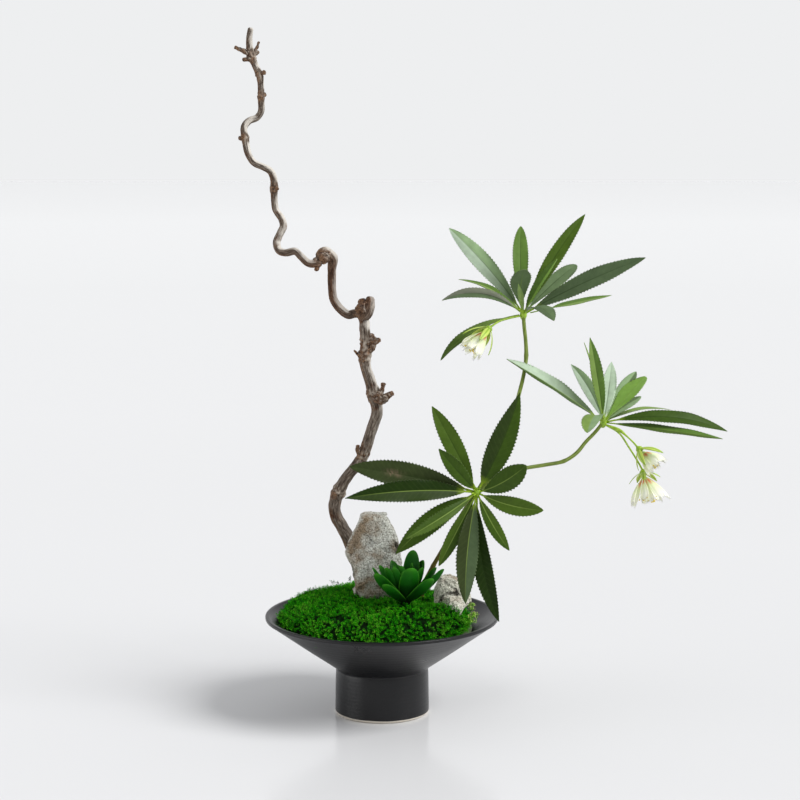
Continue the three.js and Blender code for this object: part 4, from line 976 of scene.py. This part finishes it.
RIGHT_LEAVES = [
    [(104, -25, 308), 18, "mid wax light", (0.3, -0.6, 0.75),
     dict(arch=0.022, fold=24, foot="grey", reach=(0.25, 0.7))],
    [(162, 25, 298), 11.5, "wax pale dark", (-0.3, -0.85, 0.4), dict(bend=0.06)],
    [(176, 5, 323), 11, "light bright dark", (0.1, -0.97, 0.1), dict(bend=0.01)],
    [(174, 35, 316), 5, "light", (0.8, -0.4, 0.3), {}],
    [(199, 45, 298), 13, "wax wax dark", (-0.1, -0.75, 0.65), dict(bend=0.015, widest=0.5)],
    [(221, 50, 289), 12, "pale sage light", (-0.2, -0.75, 0.6), dict(widest=0.6)],
    [(217, -38, 295), 20, "bright", (-0.3, 0.72, 0.62), dict(bend=-0.03, widest=0.64, under="meadow")],
    [(221, 12, 272), 11, "sage pale light", (-0.3, -0.5, 0.8), dict(widest=0.6)],
    [(250, 38, 257), 9, "light", (-0.1, -0.15, 1), dict(arch=0.078)],
    [(295, 12, 242), 16, "mid mid dark", (0.1, -0.6, 0.8), dict(arch=0.11, widest=0.52)],
    [(287, -12, 239), 13.5, "bright fresh light", (0.1, -0.36, 0.95), dict(arch=0.012)],
    [(169, -52, 250), 17, "pale light light", (-0.2, -0.35, 0.95), dict(arch=0.18, widest=0.62)]]
for name, hub, specs in (("front", FRONT_HUB, FRONT_LEAVES), ("upper", UPPER_HUB, UPPER_LEAVES),
                         ("right", RIGHT_HUB, RIGHT_LEAVES)):
    blades = [leaf(hub, *spec[:4], **spec[4]) for spec in specs]
    piece(name + "_leaf_whorl", leaf_finish, name + "_leaves", blades, "blade tipward tone")


# Collars: the soft bright green end of each shoot, where the leaf stalks join, with the scales
# of the next bud. Tissue this young is smooth, yellow-green and a little glossy.
collar_finish, tree, shader = finish_named("young_bud_tissue", Roughness=0.4)
place = add(tree, "TexCoord").outputs["Object"]
soft = add(tree, "TexNoise", place, 500, 3)
tint = add(tree, "ValToRGB", soft, stops=[(0.3, "#7fa820"), (0.7, "#b3d043")])
feed(shader, Base_Color=tint)
for name, hub, ahead, seed in (("front", FRONT_HUB, (0, -1, 0.25), 3), ("upper", UPPER_HUB, (0, -0.2, 1), 5),
                               ("right", RIGHT_HUB, (0.2, -0.2, 1), 8)):
    draw = random.Random(seed)
    ahead = np.array(ahead) / np.linalg.norm(ahead)
    hub = np.array(hub, float)
    swell = [(-3.4, 2.3), (-1, 3.1), (1.2, 2.9), (3, 2.0)]
    parts = [rod(np.array([[*(hub + ahead * far), thick] for far, thick in swell]), 16)]
    for k in range(9):
        side = np.cross(ahead, [cos(k * GOLDEN_TURN), 0.3, sin(k * GOLDEN_TURN)])
        side /= np.linalg.norm(side)
        lean = side * draw.uniform(0.35, 0.9) + ahead
        root = hub + side * 1.6 + ahead
        reach = draw.uniform(3.6, 5.6)
        parts.append(rod(np.array([[*root, 0.9], [*(root + lean * reach * 0.6), 0.75],
                                   [*(root + lean * reach * 0.95 + ahead * 0.5), 0.35]]), 8))
    piece(name + "_collar", collar_finish, name + "_leaves", parts)


# Blooms: small nodding white flowers on thin stalks, with leafy green sepals, fringed petals
# marked orange-pink at the foot, and a brush of stamens with yellow anthers.
# A stalk is a line of stations [x, y, z, girth]; open is the way the flower looks.
BLOOMS = [
    dict(name="upper_bloom",
         stalk=[[116.4, -1.9, 342, 0.8], [107, -9, 340.6, 0.8], [98, -15, 338.4, 0.8],
                [90.4, -19.4, 334, 0.9]],
         open=(-0.62, -0.32, -0.7), length=24, spread=23, sepal_length=23, sepal_spread=33, phase=0.1),
    dict(name="right_upper_bloom",
         stalk=[[188.9, -1.9, 249.8, 0.9], [200.8, -9, 245.6, 1.5], [206, -12, 241.6, 0.8],
                [212, -14.4, 236, 0.8], [215.4, -15.8, 232, 0.9]],
         open=(0.66, -0.3, -0.69), length=19, spread=27, sepal_length=22, sepal_spread=40, phase=0.3),
    dict(name="right_lower_bloom",
         stalk=[[189.2, 1.2, 249.4, 0.8], [201, -1.6, 242.4, 0.8], [209, -4.4, 231, 0.8],
                [216.6, -5.6, 219, 0.8], [221, -6, 211, 0.9]],
         open=(0.2, -0.3, -0.93), length=26, spread=36, sepal_length=16, sepal_spread=58, phase=0.6)]


def plain_blade(root, tip, width, face, arch, fold, widest, blunt=0.0, fringe=0.0, seed=0):
    """A sepal or petal: a thin solid with plain edges, or with a fringed blunt end."""
    draw = random.Random(seed)
    at, length = arched(root, tip, face, arch, 0)
    lean = radians(fold)
    columns = np.linspace(-1, 1, 15 if fringe else 9)
    teeth = [draw.uniform(0.1, 1.0) if k % 2 else draw.uniform(-0.5, 0.1) for k in range(len(columns))]
    rows, where = [], []
    for u in np.linspace(0, 1, 24):
        centre, forward, normal, side = at(u)
        v = u * (1 - blunt)
        half = max(width / 2 * outline(v, widest, 1.5), 0.8 * (1 - 0.6 * u))
        row = []
        for k, c in enumerate(columns):
            x = c * half
            cup = abs(x) * sin(lean) + 0.12 * sin(c * 9 + seed) * u
            reach = fringe * teeth[k] * u ** 8 - (0.35 * half * c * c * u ** 6 if fringe else 0)
            row.append((centre + side * x * cos(lean) + normal * cup + forward * reach, normal))
            where.append([x, u * length, u])
        rows.append(row)
    points, faces = sheet_solid(rows, PETAL_THICKNESS)
    return points, faces, where * 2


sepal_finish, tree, shader = finish_named("fresh_green_sepal", Roughness=0.45)
# Bright yellow-green with a deeper line along the middle.
blade_at = add(tree, "Attribute blade").outputs["Vector"]
split = add(tree, "SeparateXYZ", blade_at).outputs["X"]
off = add(tree, "Math ABSOLUTE", split)
middle = add(tree, "MapRange", off, 0.9, 0.1)
tint = add(tree, "Mix", middle, "#c6dd62", "#8db52c")
feed(shader, Base_Color=tint)

petal_finish, tree, shader = finish_named("white_petal", Roughness=0.5, Subsurface_Weight=0.4,
                                          Emission_Strength=0.08)
# Thin white tissue, greenish towards the foot, with a short orange-pink mark near the foot, and a faint glow
# for the daylight that comes through it.
shader.inputs["Subsurface Radius"].default_value = (0.004, 0.004, 0.003)
blade_at = add(tree, "Attribute blade").outputs["Vector"]
split = add(tree, "SeparateXYZ", blade_at)
off = add(tree, "Math ABSOLUTE", split.outputs["X"])
beside = add(tree, "MapRange", off, 1.6, 0.5)
low_end = add(tree, "MapRange", split.outputs["Z"], 0.1, 0.2)
high_end = add(tree, "MapRange", split.outputs["Z"], 0.46, 0.3)
both = add(tree, "Math MULTIPLY", low_end, high_end)
mark = add(tree, "Math MULTIPLY", both, beside)
paler = add(tree, "MapRange", split.outputs["Z"], 0.0, 0.85)
white = add(tree, "Mix", paler, "#cfe08c", "#f3f4e2")
marked = add(tree, "Mix", mark, white, "#dd8363")
feed(shader, Base_Color=marked, Emission_Color=marked)

anther_finish, tree, shader = finish_named("yellow_pollen", Roughness=0.8)
place = add(tree, "TexCoord").outputs["Object"]
dust = add(tree, "TexNoise", place, 2500)
tint = add(tree, "ValToRGB", dust, stops=[(0.3, "#d9b21c"), (0.7, "#f3df5a")])
feed(shader, Base_Color=tint)


PLAIN_WHITE = [9, 9, 1.0]  # a place on a petal with no mark, for the threads


def bloom(name, stalk, open, length, spread, sepal_length, sepal_spread, phase):
    """One flower: its stalk and calyx, its petals, and its anthers."""
    axis = np.array(open) / np.linalg.norm(open)
    base = np.array(stalk[-1][:3], float)
    away = np.array([0, 0, 1]) - axis * axis[2]
    away /= np.linalg.norm(away)
    aside = np.cross(axis, away)

    def radial(turn):
        return away * cos(turn) + aside * sin(turn)

    def at(depth, reach=0.0, turn=0.0):
        return base + axis * depth + radial(turn) * reach

    def ring(count, depth, out, width, twist, offset, angle, sizes, seed, **shape):
        blades = []
        for k in range(count):
            turn = (k / count + offset) * 2 * pi
            lean, size = radians(angle), sizes[k % len(sizes)]
            tip = at(depth + size * cos(lean), out + size * sin(lean), turn)
            blades.append(plain_blade(at(depth, out, turn), tip, width, -radial(turn + twist),
                                      seed=seed + k, **shape))
        return blades

    sepal_sizes = [sepal_length, sepal_length * 0.88, sepal_length * 0.76]
    sepals = ring(5, 1.6, 2, 5.4, 0, phase / 5, sepal_spread, sepal_sizes, 1,
                  arch=-0.1, fold=12, widest=0.42)
    cup = rod(np.array([[*at(-1), 1.2], [*at(0.6), 2.9], [*at(3), 3.3]]), 20)
    stem = rod(route(stalk, 0.8), 12)
    piece(name + "_stalk", collar_finish, name + "_calyx", [stem, cup])
    piece(name + "_sepals", sepal_finish, name + "_calyx", sepals, "blade")
    petals = ring(7, 5.2, 0.9, 7.8, 0.4, 0, spread, [length, length * 0.92, length * 0.97], 20,
                  arch=-0.06, fold=12, widest=0.74, blunt=0.06, fringe=3.4)
    petals += ring(5, 5.6, 0.6, 5.4, 0.5, 0.1, spread * 0.5, [length * 0.86, length * 0.78], 40,
                   arch=-0.03, fold=12, widest=0.66, blunt=0.06, fringe=2.6)
    piece(name + "_petals", petal_finish, name + "_petals", petals, "blade")
    draw = random.Random(len(name))
    threads, anthers = [], []
    for k in range(9):
        turn = k * GOLDEN_TURN
        lean = radians(spread) * draw.uniform(0.1, 0.7)
        reach = length * draw.uniform(0.72, 0.9)
        end = at(5.4 + reach * cos(lean), reach * sin(lean), turn)
        middle = at(5.4 + reach * 0.5, reach * 0.4 * sin(lean), turn)
        thread = rod(np.array([[*at(5.4, 0.8, turn), 0.28], [*middle, 0.24], [*end, 0.2]]), 6)
        threads.append((*thread[:2], [PLAIN_WHITE] * len(thread[0])))
        cross = radial(turn + 1.2) * 1.1
        anthers.append(rod(np.array([[*(end - cross), 0.42], [*end, 0.6], [*(end + cross), 0.42]]), 8))
    piece(name + "_filaments", petal_finish, name + "_petals", threads, "blade")
    piece(name + "_anthers", anther_finish, name + "_petals", anthers)


for spec in BLOOMS:
    bloom(**spec)


# Succulent: a rosette of thick spoon-shaped leaves pressed into the moss. The skin is a deep
# satin green, lighter along the rims where light passes through the flesh.
ROSETTE_BASE = np.array([20.0, -46, 106])
ROSETTE = [
    # direction round the rosette, rise, length, width, roll towards the light
    [209, 44, 40, 13.5, 30], [176, 47, 40.5, 10.5, 25], [190, 56, 39.5, 11, 30], [233, 36, 35.5, 13, 12],
    [284, 60, 38.6, 17, 0], [317, 40, 39, 14, -18], [344, 43, 45, 11, -28],
    [62, 71, 44.5, 15.5, 0], [30, 63, 38.5, 15, 0], [355, 50, 40, 14.5, -24], [221, 68, 34.5, 8.5, 50],
    [160, 70, 37.4, 13, 0], [235, 79, 33.2, 8, 50], [342, 64, 34.6, 11, -24], [206, 60, 36.5, 9, 46],
    [262, 74, 30, 8, 10], [300, 78, 31, 7.5, -20], [20, 80, 34, 9, 0], [200, 72, 34, 7.5, 40],
    [110, 50, 36, 13, 0], [130, 62, 37, 12, 0], [75, 40, 34, 13, 0]]
FLESH, FLESH_CUP = 2.5, 0.26


def fleshy_leaf(azimuth, elevation, length, width, roll):
    """One thick spoon of a leaf, with a mark of painted light that rises from its middle to its rim and tip,
    weaker underneath, and each point's share of the length.
    """
    turn, lift, roll = radians(azimuth), radians(elevation), radians(roll)
    outward = np.array([cos(turn), sin(turn), 0])
    along = outward * cos(lift) + np.array([0, 0, sin(lift)])
    face = -outward * sin(lift) + np.array([0, 0, cos(lift)])
    face = face * cos(roll) + np.cross(along, face) * sin(roll)
    at, _ = arched(ROSETTE_BASE + along * 1.5, ROSETTE_BASE + along * length, face, -0.07, 0)
    points, rim, rise = [], [], []
    rows, sides = 30, 28
    for k in range(rows):
        v = 1 - (1 - k / (rows - 1)) ** 1.5
        centre, forward, up, side = at(v)
        half = max(width / 2 * outline(0.1 + 0.899 * v, 0.62, 1.2), 0.25)
        deep = max(FLESH / 2 * outline(0.2 + 0.79 * v, 0.45, 0.8), 0.2) * min(1, half / 1.5)
        for j in range(sides):
            angle = -j / sides * 2 * pi
            c, s = cos(angle), sin(angle)
            thin = deep * (0.3 + 0.7 * (1 - abs(c) ** 2.5))
            points.append(centre + side * c * half + up * (s * thin + c * c * half * FLESH_CUP))
            rim.append(max(abs(c) ** 14 * (1 if s > -0.3 else 0.4), v ** 16) * min(1, v * 3))
            rise.append(v)
    faces = tube_faces(points, sides)
    return points, faces, rim + [rim[0], rim[-sides]], rise + [rise[0], rise[-1]]


flesh_finish, tree, shader = finish_named("succulent_flesh", Roughness=0.5, IOR=1.42, Specular_IOR_Level=0.14)
# A matt, even skin: almost black-green deep in the rosette, painted shade, and yellower on rims and tips,
# painted light coming through the flesh.
rim_light_at = add(tree, "Attribute rim").outputs["Fac"]
rise_at = add(tree, "Attribute rise").outputs["Fac"]
place = add(tree, "TexCoord").outputs["Object"]
soft = add(tree, "TexNoise", place, 90, 3)
deep_shade_share = add(tree, "Math MULTIPLY_ADD", soft, 0.5, rise_at)
green = add(tree, "ValToRGB", deep_shade_share, stops=[(0.2, "#011001"), (1.0, "#0f5a07"), (0.75, "#053a03")])
lit = add(tree, "Mix", rim_light_at, green, "#3f8a1c")
bloomed = add(tree, "TexNoise", place, 1500, 2)
fine_skin = add(tree, "Bump", Height=bloomed, Strength=0.15, Distance=0.0002)
feed(shader, Base_Color=lit, Normal=fine_skin)
core = rod(np.array([[20, -46, 98, 3], [20, -46, 106, 4], [20, -46, 111, 5], [20, -46, 118, 3]]), 20)
shade = [0.0] * len(core[0])
parts = [fleshy_leaf(*spec) for spec in ROSETTE] + [(*core[:2], shade, shade)]
piece("succulent_rosette", flesh_finish, "succulent", parts, "rim rise")


# Stage: a plain pale satin floor and soft studio light: a broad key from the right, and a pale
# surround with a soft window on the left that dims overhead and towards the camera.
floor_finish, tree, shader = finish_named("white_satin_floor", Roughness=0.16, Specular_IOR_Level=0.3)
shader.inputs["Base Color"].default_value = linear("#e8e8e9")
HALF_FLOOR = 40000
corners = [[x * HALF_FLOOR, y * HALF_FLOOR, 0] for x, y in ((-1, -1), (1, -1), (1, 1), (-1, 1))]
floor = shell("floor", corners, [(0, 1, 2, 3)], floor_finish, smooth=False)
world = bpy.data.worlds.new("pale_surround")
world.use_nodes = True
tree = world.node_tree
heading = add(tree, "TexCoord").outputs["Generated"]
height = add(tree, "SeparateXYZ", heading)
overhead = add(tree, "MapRange", height.outputs["Z"], 0.12, 0.6)
sky = add(tree, "Mix", overhead, "#eeeff0", "#b0b1b3")
behind = add(tree, "MapRange", height.outputs["Y"], -0.1, -0.8, 1.0, 0.62)
dimmed = add(tree, "VectorMath SCALE", sky, behind)
window = add(tree, "VectorMath DOT_PRODUCT", heading, (-0.94, -0.28, 0.2))
glow = add(tree, "MapRange", window, 0.9, 0.97, 0, 1.6)
lifted = add(tree, "VectorMath ADD", dimmed, glow)
feed(tree.nodes["Background"], Color=lifted)
bpy.context.scene.world = world
light = bpy.data.lights.new("key_light", "SUN")
KEY_STRENGTH, KEY_WIDTH, KEY_FROM = 2.75, 30, (0.75, -0.35, 0.8)
light.energy = KEY_STRENGTH
light.angle = radians(KEY_WIDTH)
lamp = placed("key_light", light)
lamp.rotation_euler = Vector(KEY_FROM).to_track_quat("Z", "Y").to_euler()
